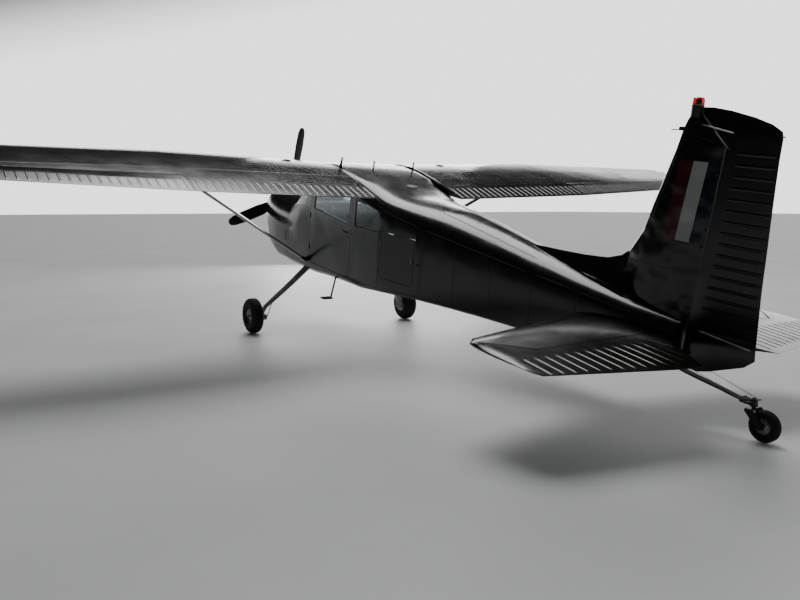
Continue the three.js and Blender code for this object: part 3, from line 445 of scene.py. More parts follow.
def addStrip(bm, hits, width, height, taper=0.1, sink=0.6):
    # A pressed bead or a lap: a thin strip with a crowned section that follows the skin
    if len(hits) < 2:
        return
    part = bmesh.new()
    steps = len(hits) - 1
    verts = bmesh.ops.create_grid(part, x_segments=steps, y_segments=4, size=0.5)["verts"]
    for vert in verts:
        along, across = vert.co.x + 0.5, vert.co.y * 2
        i = round(along * steps)
        spot, normal = hits[i]
        ahead = hits[min(i + 1, steps)][0] - hits[max(i - 1, 0)][0]
        side = normal.cross(ahead).normalized()
        ends = min(1, along / taper, (1 - along) / taper) if taper else 1
        rise = height * max(ends, 0) * (1 - across * across) - sink
        vert.co = spot + side * (across * width / 2) + normal * rise
    bmesh.ops.solidify(part, geom=part.faces[:], thickness=0.8)
    bmesh.ops.recalc_face_normals(part, faces=part.faces[:])
    absorb(bm, part)


def standing(place, way):
    # A matrix at a place with its z along a direction
    return Matrix.Translation(place) @ way.to_track_quat('Z', 'Y').to_matrix().to_4x4()


def addStuds(bm, hits, radius, height):
    # Round-head rivets or screws, each a low dome of a few faces
    part = bmesh.new()
    for spot, normal in hits:
        bmesh.ops.create_cone(part, cap_ends=True, segments=6, radius1=radius, radius2=radius * 0.55,
                              depth=height, matrix=standing(spot + normal * (height / 2 - 0.3), normal))
    absorb(bm, part)


down, up = (0, 0, -1), (0, 0, 1)
beads = {"pitch": 82, "width": 26, "height": 3.4, "steps": 10}
tailBeads = {"pitch": 88, "first": 200, "last": 1560, "height": 506, "front": -5790, "hornBack": -6330}
rudderBeads = {"pitch": 79, "count": 17, "lowest": 640, "front": -5950, "lean": 0.061}

# Each surface's beads: span ends, then its front line and its back line as (y, x) pairs
beadRows = [
    ("flap", 600, 2500, (600, -1985, 2500, -1985), (600, -2255, 2500, -2255)),
    ("aileron", 2600, 5240, (2600, -1955, 5240, -1685), (2600, -2250, 5240, -1862)),
]


def slope(at, a1, b1, a2, b2):
    # The value at one place of the line through two points
    return b1 + (at - a1) / (a2 - a1) * (b2 - b1)


def spread(first, last, pitch):
    # Even places from first to last, about one pitch apart
    count = int((last - first) / pitch)
    return [first + (last - first) * i / count for i in range(count + 1)]


def addBead(bm, node, start, end, looks):
    for look in looks:
        addStrip(bm, trace(node, start, end, look, beads["steps"]), beads["width"], beads["height"])


def makeBeads():
    for side, word in leftRight:
        for kind, first, last, front, back in beadRows:
            node = kind + "_" + word
            bm = bmesh.new()
            for y in spread(first, last, beads["pitch"]):
                addBead(bm, node, (slope(y, *front), side * y, wingMiddle(y)),
                        (slope(y, *back), side * y, wingMiddle(y) - 25), (down, up))
            putPiece(bm, "beads_" + node, "skin", bodyOf[node])
    bm = bmesh.new()
    for side, _ in leftRight:
        for y in spread(tailBeads["first"], tailBeads["last"], tailBeads["pitch"]):
            back = tailBeads["hornBack"] if y < 300 else slope(y, 430, -6310, 1560, -6084) + 14
            addBead(bm, "elevator", (tailBeads["front"], side * y, tailBeads["height"]),
                    (back, side * y, tailBeads["height"]), (down, up))
    putPiece(bm, "beads_elevator", "skin", "elevator")
    bm = bmesh.new()
    for i in range(rudderBeads["count"]):
        rise = i * rudderBeads["pitch"]
        z = rudderBeads["lowest"] + rise
        addBead(bm, "rudder", (rudderBeads["front"] - rise * rudderBeads["lean"], 0, z),
                (slope(z, 577, -6411, 2018, -6334) + 16, 0, z), ((0, -1, 0), (0, 1, 0)))
    putPiece(bm, "beads_rudder", "skin", "rudder")


def wingMiddle(y):
    # Height of the wing's rear part in the level frame, for lines that are cast onto it
    return 1150 + (y - 545) * 0.0306


makeBeads()

# Skin laps and seams: node, start, end, direction looked along, steps, width, height; the y is mirrored
lapRows = [
    ("wing", (-1690, 2490, 1360), (-1652, 560, 1310), down, 24, 13, 1.5),
    ("wing", (-1580, 5260, 1360), (-1690, 2560, 1360), down, 24, 12, 1.3),
    ("wing", (-1906, 2520, 1280), (-1906, 565, 1240), down, 24, 9, 1.4),
    ("wing", (-690, 562, 1330), (-2240, 562, 1140), down, 24, 34, 2.6),
    ("wing", (-700, 2548, 1380), (-1885, 2548, 1290), down, 16, 14, 1.2),
    ("wing", (-740, 4000, 1420), (-1750, 4000, 1320), down, 16, 14, 1.2),
    ("wing", (-690, 562, 1220), (-1890, 562, 1160), up, 20, 30, 2.2),
    ("wing", (-1055, 5200, 1300), (-1055, 570, 1200), up, 24, 12, 1.2),
    ("wing", (-1620, 5200, 1250), (-1680, 570, 1180), up, 24, 12, 1.2),
    ("stabilizer", (-5000, 190, 530), (-5290, 1500, 530), down, 12, 12, 1.1),
    ("stabilizer", (-5620, 190, 530), (-5620, 1300, 530), down, 12, 12, 1.1),
    ("tail_cone", (-3010, 455, 912), (-4398, 282, 749), (0, -1, -1), 30, 15, 2.6),
    ("tail_cone", (-3010, 240, 1074), (-4376, 161, 854), (0, -1, -2), 30, 15, 2.6),
    ("tail_cone", (-4398, 282, 749), (-5650, 130, 612), (0, -1, -0.6), 24, 12, 1.6),
    ("fin", (-4770, 66, 826), (-5392, 60, 733), (0, -1, -0.4), 14, 16, 1.6),
    ("fin", (-5215, 12, 1020), (-5900, 12, 1020), (0, -1, 0), 12, 12, 1.0),
    ("fin", (-5560, 12, 2040), (-5880, 12, 1960), (0, -1, 0), 8, 12, 1.0),
    ("fin", (-5330, 30, 1120), (-5570, 30, 1960), (0, -1, 0), 16, 10, 1.0),
    # The rudder's row gets the bright strip, a painted highlight along its lower edge
    ("rudder", (-5960, 30, 628), (-6385, 30, 585), (0, -1, 0), 10, 12, 3.0),
    ("cabin_shell", (-2945, 458, 916), (-2330, 535, 1010), (0, -1, -0.7), 14, 14, 2.0),
    ("cowl_upper", (12, 300, 845), (980, 250, 850), (0, -1, -2), 16, 10, 1.2),
]
# Rings of lap and rivets round the body: node, station, centre height, first and last angle from the top
ringRows = [
    ("cabin_shell", -2296, 560, 52, 172), ("cabin_shell", -2296, 560, -172, -52),
    ("cabin_shell", -2985, 600, -178, 178), ("tail_cone", -3020, 600, -178, 178),
    ("tail_cone", -3480, 600, -178, 178), ("tail_cone", -3960, 590, -178, 178),
    ("tail_cone", -4450, 560, -178, 178), ("tail_cone", -4930, 540, 60, 178),
    ("tail_cone", -4930, 540, -178, -60), ("tail_cone", -5400, 480, 70, 178),
    ("tail_cone", -5400, 480, -178, -70), ("cowl_upper", 14, 620, -76, 76),
    ("cowl_lower", 14, 500, 88, 178), ("cowl_lower", 14, 500, -178, -88),
]
seam = {"ringSteps": 56, "ringWidth": 16, "ringHeight": 1.1, "rivetsAside": 13, "rivetSteps": 30}
fastener = {"radius": 3.4, "height": 1.5, "pitch": 34}


def sideNode(kind, word):
    return kind if kind in frame["nodes"] else kind + "_" + word


def mirrored(point, side):
    return (point[0], side * point[1], point[2])


def resample(hits, pitch):
    # Places one pitch apart along a traced line
    spots, run = [], 0.0
    for (a, na), (b, nb) in zip(hits, hits[1:]):
        length = (b - a).length
        while run < length:
            t = run / length
            spots.append((a.lerp(b, t), na.lerp(nb, t).normalized()))
            run += pitch
        run -= length
    return spots


def shifted(hits, across):
    # The same line moved sideways over the skin
    moved = []
    for i, (spot, normal) in enumerate(hits):
        ahead = hits[min(i + 1, len(hits) - 1)][0] - hits[max(i - 1, 0)][0]
        moved.append((spot + normal.cross(ahead).normalized() * across, normal))
    return moved


def addRivets(studs, node, hits):
    addStuds(studs.setdefault(node, bmesh.new()), resample(hits, fastener["pitch"]), fastener["radius"],
             fastener["height"])


def skinFinish(node):
    return "cowl" if node.startswith("cowl") else "strut" if node.startswith("strut") else "skin"


def makeSeams():
    laps, studs = {}, {}
    for kind, start, end, look, steps, width, height in lapRows:
        for side, word in leftRight:
            node = sideNode(kind, word)
            hits = trace(node, mirrored(start, side), mirrored(end, side), mirrored(look, side), steps)
            addStrip(laps.setdefault(node, bmesh.new()), hits, width, height, taper=0.02)
            if len(hits) > 2:
                addRivets(studs, node, shifted(hits, width * 0.9))
    for node, x, height, first, last in ringRows:
        hits = ring(node, x, height, first, last, seam["ringSteps"])
        addStrip(laps.setdefault(node, bmesh.new()), hits, seam["ringWidth"], seam["ringHeight"], taper=0)
        for across in (-seam["rivetsAside"], seam["rivetsAside"]):
            addRivets(studs, node, shifted(hits, across))
    for node, bm in laps.items():
        # The rudder's lap is finished bright as a painted highlight; the other laps take their skin's paint
        putPiece(bm, "laps_" + node, "highlightLap" if node == "rudder" else skinFinish(node), bodyOf[node])
    return studs


inward = (0, -1, 0)
# Rivet rows with no lap: kind, start, end, direction looked along; the y is mirrored
rivetRows = [("tail_cone", (-3020, 400, z), (-5700, 130, z2), inward)
             for z, z2 in ((760, 560), (560, 480), (330, 380))]
rivetRows += [("cabin_shell", (-1712, 540, 690), (-2980, 460, 700), inward),
              ("cabin_shell", (-1712, 540, 250), (-2980, 460, 290), inward),
              ("cabin_shell", (-1722, 540, 180), (-1722, 540, 1050), inward),
              ("cabin_shell", (-600, 540, 160), (-600, 540, 1060), inward),
              ("cabin_shell", (-30, 530, 120), (-30, 530, 640), inward),
              ("wing", (-1050, 5200, 1450), (-1050, 575, 1330), down),
              ("wing", (-1540, 5200, 1450), (-1640, 575, 1330), down),
              ("wing", (-1040, 5200, 1350), (-1040, 575, 1210), up),
              ("wing", (-1530, 5200, 1350), (-1640, 575, 1210), up)]
for y in range(760, 5200, 356):
    outer = max(0, y - 2540)
    rivetRows += [("wing", (-720 - outer * 0.04, y, 1400), (-1640 + outer * 0.03, y, 1340), look)
                  for look in (down, up)]
rivetRows += [("stabilizer", (-5090 - (y - 300) * 0.24, y, 530), (-5600, y, 530), look)
              for y in range(300, 1300, 240) for look in (down, up)]
rivetRows += [("fin", (-5240 - max(0, z - 1100) * 0.36, 20, z), (-5880 - (z - 800) * 0.05, 20, z), inward)
              for z in (880, 1130, 1920)]
rivetRows += [("fin", (-5880, 20, 800), (-5945, 20, 1900), inward),
              ("fin", (-5300, 20, 1130), (-5530, 20, 1900), inward),
              ("strut", (-540, 560, 160), (-1040, 2400, 1160), down)]


def makeRivets(studs):
    for kind, start, end, look in rivetRows:
        for side, word in leftRight:
            node = sideNode(kind, word)
            hits = trace(node, mirrored(start, side), mirrored(end, side), mirrored(look, side),
                         seam["rivetSteps"])
            addRivets(studs, node, hits)
    for node, bm in studs.items():
        putPiece(bm, "rivets_" + node, skinFinish(node), bodyOf[node])


makeRivets(makeSeams())

print("windows, doors and latches")
# Openings in side view (x, z) in the level frame, each edged with a rubber channel
paneOutlines = {
    "door": [(-745, 831), (-1615, 754), (-1630, 1058), (-800, 1133)],
    "cabin_shell": [(-1760, 752), (-2265, 766), (-2312, 895), (-2243, 985), (-2020, 1028),
                    (-1772, 1046)],
}
channel = {"out": 7, "width": 20, "height": 3.2}


def outlineHits(node, outline, side, out, pitch=26):
    # A closed side-view outline pushed outwards and laid on a node's skin
    centre = sum((Vector((x, 0, z)) for x, z in outline), Vector()) / len(outline)
    corners = []
    for x, z in outline:
        away = Vector((x, 0, z)) - centre
        corners.append(centre + away * (1 + out * 1.3 / away.length))
    hits = []
    for a, b in zip(corners, corners[1:] + corners[:1]):
        count = max(2, int((b - a).length / pitch))
        shift = Vector((0, side * 540, 0))
        hits += trace(node, a + shift, b + shift, (0, -side, 0), count)[:-1]
    return hits + hits[:1]


def makeChannels():
    for kind, outline in paneOutlines.items():
        for side, word in leftRight:
            node = sideNode(kind, word)
            bm = bmesh.new()
            hits = outlineHits(node, outline, side, channel["out"])
            addStrip(bm, hits, channel["width"], channel["height"], taper=0)
            putPiece(bm, "window_channel_" + kind + "_" + word, "frameGrey", bodyOf[node])


def roundBar(bm, start, end, radius, endRadius=None, sides=12):
    # A round bar between two level-frame points
    start, end = Vector(start), Vector(end)
    way = end - start
    bmesh.ops.create_cone(bm, cap_ends=True, segments=sides, radius1=radius,
                          radius2=radius if endRadius is None else endRadius, depth=way.length,
                          matrix=standing((start + end) / 2, way))


def softBlock(bm, centre, dims, edge, turn=None, segments=2):
    # A block with rounded edges
    part = bmesh.new()
    bmesh.ops.create_cube(part, size=1)
    bmesh.ops.scale(part, vec=dims, verts=part.verts)
    bmesh.ops.bevel(part, geom=part.edges[:], offset=edge, segments=segments, profile=0.5, affect='EDGES',
                    material=-1)
    bmesh.ops.transform(part, matrix=Matrix.Translation(centre) @ (turn or Matrix()), verts=part.verts)
    absorb(bm, part)


def spun(bm, profile, centre, axis, steps=48):
    # A closed profile of (radius, along) turned once round an axis through a centre
    part = bmesh.new()
    axis = Vector(axis).normalized()
    out = axis.orthogonal().normalized()
    verts = [part.verts.new(Vector(centre) + out * r + axis * along) for r, along in profile]
    edges = [part.edges.new((verts[i], verts[(i + 1) % len(verts)])) for i in range(len(verts))]
    bmesh.ops.spin(part, geom=verts + edges, cent=centre, axis=axis, angle=2 * math.pi, steps=steps,
                   use_merge=True)
    bmesh.ops.remove_doubles(part, verts=part.verts, dist=0.05)
    bmesh.ops.recalc_face_normals(part, faces=part.faces[:])
    absorb(bm, part)


def disc(radius, height, edge=0.8):
    # Profile of a low round boss from its axis outwards, as a closed loop
    return [(0.01, 0), (radius, 0), (radius, height - edge), (radius - edge, height), (0.01, height)]


doorFittings = {"skin": 545, "hingeX": -648, "hinges": (330, 720), "hingeHalf": 34, "handleTilt": 4}


def makeDoorFittings():
    for side, word in leftRight:
        skinY = side * doorFittings["skin"]
        bm = bmesh.new()
        lift = Matrix.Rotation(math.radians(doorFittings["handleTilt"]), 4, 'Y')
        softBlock(bm, (-1548, skinY + side * 9, 652), (118, 9, 17), 3.5, lift)
        softBlock(bm, (-1500, skinY + side * 4, 650), (26, 10, 30), 4)
        spun(bm, disc(11, 3.2), (-1592, skinY, 600), (0, side, 0), 20)
        putPiece(bm, "door_handle_" + word, "black", "door_" + word)
        bm = bmesh.new()
        for z in doorFittings["hinges"]:
            pin = Vector((doorFittings["hingeX"], skinY + side * 4, z))
            half = Vector((0, 0, doorFittings["hingeHalf"]))
            roundBar(bm, pin - half, pin + half, 5.5)
            softBlock(bm, (pin.x + 20, skinY + side, z), (30, 5, 60), 1.5)
        putPiece(bm, "door_hinges_" + word, "grey")
        bm = bmesh.new()
        softBlock(bm, (-521, skinY - side, 663), (34, 5, 26), 1.8)
        spun(bm, disc(9, 4), (-134, side * 530, 503), (0, side, 0), 18)
        putPiece(bm, "side_plates_" + word, "grey")
        bm = bmesh.new()
        softBlock(bm, (-707, skinY + side, 293), (30, 5, 20), 1.8)
        putPiece(bm, "door_plate_" + word, "grey", "door_" + word)
    bm = bmesh.new()
    for z in (400, 650):
        roundBar(bm, (-2322, 541.5, z - 30), (-2322, 541.5, z + 30), 4.5)
    softBlock(bm, (-2852, 482, 545), (26, 6, 60), 2.5)
    putPiece(bm, "baggage_hinges", "grey")


capProfile = [(0.01, -1), (64, -1), (64, 1.6), (60, 2.4), (46, 2.8), (45, 9), (41, 11), (0.01, 11)]


def makeFuelCaps():
    for side, word in leftRight:
        spot, normal = landing("wing_" + word, (-1058, side * 1085, 1400), down)
        bm = bmesh.new()
        spun(bm, capProfile, spot, normal, 40)
        softBlock(bm, spot + normal * 12, (64, 12, 5), 2)
        putPiece(bm, "fuel_cap_" + word, "black")
        bm = bmesh.new()
        spot, normal = landing("wing_" + word, (-1150, side * 1180, 1400), down)
        spun(bm, disc(9, 3), spot, normal, 16)
        putPiece(bm, "fuel_vent_" + word, "steel")


makeChannels()
makeDoorFittings()
makeFuelCaps()

print("wheels and gear")
mainWheel = {"x": -378, "y": 1159, "z": -599, "rim": 84, "tyre": 222, "half": 78, "groove": 5, "axle": 20}
tailWheel = {"x": -6573.1, "y": 0, "z": 106.07, "rim": 50, "tyre": 112, "half": 36, "groove": 3, "axle": 10}


def tyreSection(wheel):
    # Bead, bulged wall, shoulder and a ribbed tread, from the inner side out, as (radius, along the axle)
    rim, tyre, half, groove = wheel["rim"] + 2, wheel["tyre"] - 0.3, wheel["half"] - 0.5, wheel["groove"]
    deep = tyre - rim
    wall = [(rim, 0.62), (rim + 0.05 * deep, 0.74), (rim + 0.2 * deep, 0.9), (rim + 0.38 * deep, 0.985),
            (rim + 0.52 * deep, 1.0), (rim + 0.66 * deep, 0.955), (rim + 0.78 * deep, 0.87),
            (rim + 0.87 * deep, 0.77), (rim + 0.93 * deep, 0.66), (rim + 0.97 * deep, 0.54)]
    tread = []
    for middle in (0.42, 0.14):
        flat = tyre - (0.012 * deep if middle > 0.3 else 0)
        tread += [(flat, middle + 0.06), (flat - groove, middle + 0.04), (flat - groove, middle - 0.04),
                  (flat, middle - 0.06)]
    side = [(r, along * half) for r, along in wall + tread]
    return side + [(r, -along) for r, along in reversed(side)]


def rimSection(wheel):
    # Cast rim: flanges, a well, a dished web and a hub bored for the axle
    rim, half, axle = wheel["rim"], wheel["half"] * 0.66, wheel["axle"]
    lip, web = rim + 3.5, rim * 0.62
    ring = [(rim - 8, half * 0.55), (rim, half), (lip, half), (lip, half - 4), (rim - 1, half - 7),
            (rim - 4, 0), (rim - 1, 7 - half), (lip, 4 - half), (lip, -half), (rim, -half),
            (rim - 8, -half * 0.55), (web, -half * 0.5)]
    hub = [(axle * 2.0, -half * 0.8), (axle + 1, -half * 0.8), (axle + 1, half * 0.8),
           (axle * 2.0, half * 0.8), (web, half * 0.5)]
    return ring + hub


discProfile = [(62, 76), (62, 60), (70, 60), (70, 74), (103, 74), (104, 77), (104, 81), (103, 84), (24, 84),
               (24, 76)]


def makeWheel(wheel, side, tyreNode, rimNode, word):
    centre, axis = Vector((wheel["x"], side * wheel["y"], wheel["z"])), (0, 1, 0)
    body = bodyOf[tyreNode]
    bm = bmesh.new()
    spun(bm, tyreSection(wheel), centre, axis, 72)
    putPiece(bm, "detailed_" + tyreNode, "rubber", body, [tyreNode])
    bm = bmesh.new()
    spun(bm, rimSection(wheel), centre, axis, 56)
    bolts = bmesh.new()
    reach, half = wheel["rim"] * 0.56, wheel["half"]
    for i in range(6):
        turn = math.radians(60 * i + 15)
        for way in (1, -1):
            foot = centre + Vector((math.cos(turn) * reach, way * half * 0.32, math.sin(turn) * reach))
            roundBar(bolts, foot, foot + Vector((0, way * half * 0.09, 0)), wheel["rim"] * 0.055, sides=6)
    absorb(bm, bolts)
    putPiece(bm, "detailed_" + rimNode, "aluminium", body, [rimNode])
    if wheel is mainWheel:
        bm = bmesh.new()
        spun(bm, [(r, -side * along) for r, along in discProfile], centre, axis, 48)
        putPiece(bm, "brake_disc_" + word, "steel", body)


for side, word in leftRight:
    makeWheel(mainWheel, side, "tyre_" + word, "wheel_rim_" + word, word)
makeWheel(tailWheel, 1, "tail_tyre", "tail_rim", "tail")


def tube(name, points, radius, finish, sides=10):
    # A smooth bent tube through a few level-frame points, made a closed mesh
    curve = bpy.data.curves.new(name, 'CURVE')
    curve.dimensions = '3D'
    curve.bevel_depth = radius
    curve.bevel_resolution = sides // 4
    curve.resolution_u = 8
    curve.use_fill_caps = True
    spline = curve.splines.new('BEZIER')
    spline.bezier_points.add(len(points) - 1)
    for point, place in zip(spline.bezier_points, points):
        point.co = place
        point.handle_left_type = point.handle_right_type = 'AUTO'
    holder = bpy.data.objects.new(name, curve)
    bpy.context.collection.objects.link(holder)
    mesh = holder.evaluated_get(bpy.context.evaluated_depsgraph_get()).to_mesh()
    bm = bmesh.new()
    bm.from_mesh(mesh)
    bmesh.ops.remove_doubles(bm, verts=bm.verts, dist=0.01)
    bmesh.ops.recalc_face_normals(bm, faces=bm.faces[:])
    bpy.data.objects.remove(holder)
    putPiece(bm, name, finish)


hosePoints = [(-498, 880, -352), (-500, 930, -372), (-520, 985, -452), (-530, 1016, -540), (-512, 1034, -600),
              (-492, 1040, -606)]


def makeMainGearFittings():
    for side, word in leftRight:
        tube("brake_hose_" + word, [mirrored(point, side) for point in hosePoints], 5, "rubber")
        bm = bmesh.new()
        alongLeg = Matrix.Rotation(-side * math.radians(47), 4, 'X')
        softBlock(bm, (-480, side * 806, -285), (132, 9, 26), 3, alongLeg)
        softBlock(bm, (-447, side * 1041, -599), (92, 30, 58), 7)
        for z in (-616, -582):
            roundBar(bm, (-470, side * 1018, z), (-470, side * 1062, z), 6, sides=6)
        axleEnd = (-378, side * 1211, -599)
        spun(bm, [(0.01, 0), (15, 0), (15, 9), (11, 13), (0.01, 13)], axleEnd, (0, -side, 0), 24)
        spun(bm, [(19.5, -34), (33, -34), (33, -22), (19.5, -22)], axleEnd, (0, side, 0), 6)
        putPiece(bm, "brake_caliper_" + word, "aluminium")
        bm = bmesh.new()
        for i in range(9):
            softBlock(bm, (-1300, side * (568 + i * 12), -178.4), (76, 5, 2.4), 0.8, segments=1)
        putPiece(bm, "step_tread_" + word, "rubber", slot="black_paint")


makeMainGearFittings()

# The tail gear stands upright on the ground, so its parts are measured from the kingpin and turned level
kingpin = Vector((-6473, 0, 200))
levelTurn = Matrix.Rotation(parkedPitch, 4, 'Y')
plumb = Matrix.Translation(kingpin) @ levelTurn
spring = {"coils": 15, "steps": 10, "radius": 8, "wire": 1.7}


def upright(x, y, z):
    return plumb @ Vector((x, y, z))


def springPoints(start, end):
    # A coil wound round the line between two points
    way = (end - start).normalized()
    across = way.orthogonal().normalized()
    beside = way.cross(across)
    total = spring["coils"] * spring["steps"]
    points = []
    for i in range(total + 1):
        angle = 2 * math.pi * i / spring["steps"]
        run = (end - start).length * (0.06 + 0.88 * i / total)
        out = (across * math.cos(angle) + beside * math.sin(angle)) * spring["radius"]
        points.append(start + way * run + out)
    return [start] + points + [end]


def makeTailGearFittings():
    bm = bmesh.new()
    for side, _ in leftRight:
        softBlock(bm, upright(4, side * 66, 52), (22, 30, 9), 2, levelTurn)
    roundBar(bm, upright(0, 0, 66), upright(0, 0, 76), 15, 12, 16)
    spun(bm, disc(17, 7), upright(0, 0, 14), upright(0, 0, 20) - upright(0, 0, 14), 20)
    for x in (-6386, -6448):
        softBlock(bm, (x, 0, 250), (12, 62, 12), 2.5)
        for side, _ in leftRight:
            roundBar(bm, (x, side * 26, 232), (x, side * 26, 262), 5, sides=6)
    putPiece(bm, "steering_arm", "black")
    bm = bmesh.new()
    raked = levelTurn @ Matrix.Rotation(math.radians(28), 4, 'Y')
    for side, _ in leftRight:
        inner, outer = upright(-87, side * 60, -106.2), upright(-87, side * 70, -106.2)
        spun(bm, disc(13, 5), inner, outer - inner, 6)
        softBlock(bm, upright(-30, side * 53, -48), (18, 16, 60), 4, raked)
    putPiece(bm, "fork_bosses", "black", "tail_swivel")
    for side, word in leftRight:
        start, end = Vector((-5838, side * 66, 372)), upright(8, side * 72, 55)
        middle = start.lerp(end, 0.55)
        sagging = start.lerp(end, 0.3) + Vector((0, 0, -2))
        tube("steering_cable_" + word, [start, sagging, middle], 2.2, "steel", 8)
        tube("steering_spring_" + word, springPoints(middle, end), spring["wire"], "steel", 4)


makeTailGearFittings()

print("lights, hinges and small fittings")
beacon = {"x": -5645, "seat": 2226, "top": 2277, "radius": 43, "wall": 3, "ribs": 16, "lampGap": 14}
lampProfile = [(0.01, 0), (9, 0), (9, 30), (5, 36), (0.01, 37)]


def makeBeacon():
    x, seat, top, radius, wall = (beacon[key] for key in ("x", "seat", "top", "radius", "wall"))
    bm = bmesh.new()
    outer = [(radius - 3, seat + 1), (radius, seat + 3), (radius, seat + 30), (radius - 3, seat + 40),
             (radius - 11, seat + 47), (radius - 26, top - 0.5), (0.01, top)]
    inner = [(0.01, top - wall), (radius - 27, top - wall - 0.5), (radius - 13, seat + 44),
             (radius - 6, seat + 38), (radius - wall, seat + 29), (radius - wall, seat + 4),
             (radius - 6, seat + 1)]
    spun(bm, outer + inner, (x, 0, 0), up, 40)
    for i in range(beacon["ribs"]):
        turn = 2 * math.pi * i / beacon["ribs"]
        reach = radius - 1.6
        foot = Vector((x + math.cos(turn) * reach, math.sin(turn) * reach, seat + 4))
        roundBar(bm, foot, foot + Vector((0, 0, 26)), 1.5, sides=6)
    putPiece(bm, "beacon_lens_moulded", "lens", "root", ["beacon_lens"])
    bm = bmesh.new()
    softBlock(bm, (x, 0, seat + 20), (7, 40, 38), 1.5)
    for gap in (beacon["lampGap"], -beacon["lampGap"]):
        spun(bm, lampProfile, (x + gap, 0, seat + 1), up, 16)
    putPiece(bm, "beacon_lamp", "black")
    bm = bmesh.new()
    clamp = [(radius - 4, seat - 9), (radius + 1, seat - 9), (radius + 1, seat - 1), (radius - 4, seat - 1)]
    spun(bm, clamp, (x, 0, 0), up, 40)
    putPiece(bm, "beacon_clamp", "steel")


def makeNavigationLights():
    # An oval lens on each wing tip
    for (side, word), finish in zip(leftRight, ("lens", "greenLens")):
        bm = bmesh.new()
        spot, _ = landing("wing_" + word, (-1150, side * 5385, 1400), down)
        bmesh.ops.create_uvsphere(bm, u_segments=24, v_segments=12, radius=1)
        bmesh.ops.scale(bm, vec=(44, 22, 13), verts=bm.verts)
        bmesh.ops.translate(bm, vec=spot, verts=bm.verts)
        putPiece(bm, "tip_light_" + word, finish)


# Under each fixed surface: piece, node, height to look from, places (x, y), each block's offset, size, edge
brackets = [
    ("aileron_brackets_", "wing_", 1300, [(-1839 + (y - 2556) * 0.0971, y) for y in (2900, 3900, 4900)],
     (-10, 0, -6), (70, 12, 16), 4),
    ("flap_tracks_", "wing_", 1200, [(-1820, 760), (-1820, 2300)], (-10, 0, -10), (120, 9, 26), 4),
    ("elevator_brackets_", "stabilizer_", 506, [(-5640, 420), (-5640, 1050)], (2, 0, -3), (34, 14, 12), 3),
]


def makeHinges():
    # Bracket and pin at each hinge of the moving surfaces, fixed to the side that stays
    bm = bmesh.new()
    for x, z in ((-5856, 720), (-5880, 1230), (-5886, 1350), (-5909, 1745)):
        for side, _ in leftRight:
            spot, _ = landing("fin", (x, side * 60, z), (0, -side, 0))
            softBlock(bm, spot, (24, 6, 20), 1.5)
            roundBar(bm, spot, spot + Vector((0, side * 5, 0)), 4, sides=6)
    putPiece(bm, "rudder_brackets", "black")
    for side, word in leftRight:
        for name, node, below, places, offset, dims, edge in brackets:
            bm = bmesh.new()
            for x, y in places:
                spot, _ = landing(node + word, (x, side * y, below), up)
                softBlock(bm, spot + Vector(offset), dims, edge)
                if name.startswith("aileron"):
                    roundBar(bm, spot + Vector((-40, -9, -8)), spot + Vector((-40, 9, -8)), 6)
            putPiece(bm, name + word, "black")


makeBeacon()
makeNavigationLights()
makeHinges()


# The strut's foot, how far it goes back and up for each mm outwards, and the cuffs' places across
strutLine = {"foot": Vector((-561.5, 555, 140)), "way": Vector((-0.251, 1, 0.6157)), "yaw": 14.1,
             "tilt": 30.9, "cuffs": (580, 2226)}


def makeStrutCuffs():
    # A fairing at each end of the strut and the bolt at its foot
    for side, word in leftRight:
        bm = bmesh.new()
        turn = (Matrix.Rotation(side * math.radians(strutLine["yaw"]), 4, 'Z')
                @ Matrix.Rotation(side * math.radians(strutLine["tilt"]), 4, 'X'))
        for y in strutLine["cuffs"]:
            place = strutLine["foot"] + strutLine["way"] * (y - strutLine["foot"].y)
            softBlock(bm, mirrored(place, side), (94, 76, 46), 14, turn, 3)
        softBlock(bm, (-985, side * 2258, 1194), (130, 116, 7), 3)
        putPiece(bm, "strut_cuffs_" + word, "strut")
        bm = bmesh.new()
        roundBar(bm, (-612, side * 553, 139), (-511, side * 553, 139), 8, sides=6)
        putPiece(bm, "strut_bolt_" + word, "steel")


def makeCowlDetails():
    screws = bmesh.new()
    louvres = bmesh.new()
    for side, _ in leftRight:
        look = (0, -side, 0)
        for i in range(9):
            for node, z in (("cowl_upper", 585), ("cowl_lower", 535)):
                spot, normal = landing(node, (60 + i * 108, side * 620, z), look)
                spun(screws, disc(8.5, 2.2), spot, normal, 14)
        for spot, normal in trace("cowl_lower", (120, side * 620, 300), (120, side * 620, 410), look, 5):
            softBlock(louvres, spot + normal * 2, (62, 8, 9), 3)
    putPiece(screws, "cowl_fasteners", "steel")
    putPiece(louvres, "cowl_louvres", "black")


def makeSidePorts():
    # The dark grip beside the baggage door and the mark on the roof behind the wing
    for side, word in leftRight:
        bm = bmesh.new()
        spot, normal = landing("cabin_shell", (-2940, side * 600, 530), (0, -side, 0))
        spun(bm, disc(17, 2.4), spot, normal, 24)
        softBlock(bm, spot + normal * 5, (34, 9, 10), 3)
        putPiece(bm, "side_grip_" + word, "black")
    bm = bmesh.new()
    spot, normal = landing("cabin_shell", (-1950, -80, 1300), down)
    spun(bm, [(0.01, -2), (70, -2), (68, 3), (40, 8), (0.01, 9)], spot, normal, 36)
    putPiece(bm, "roof_vent", "black")


makeStrutCuffs()
makeCowlDetails()
makeSidePorts()

print("seats")
frontSeat = {"half": 212, "front": -1010, "back": -1420, "seat": 430, "top": 930, "foot": 71}
seatShapes = {
    "seat_left": dict(frontSeat, y=262),
    "seat_right": dict(frontSeat, y=-262),
    "rear_seat": {"y": 0, "half": 460, "front": -1960, "back": -2330, "seat": 450, "top": 880, "foot": 131},
}
padding = {"voxel": 0.007, "pressure": 4.0, "frames": 18, "cap": 0.016, "inset": 15,
           "thick": 62, "backThick": 42, "rounding": 0.42}
seatFrame = {"leg": 12, "side": 11, "rail": 9, "rails": (0.15, 0.5, 0.94), "drop": 104, "inset": 26}


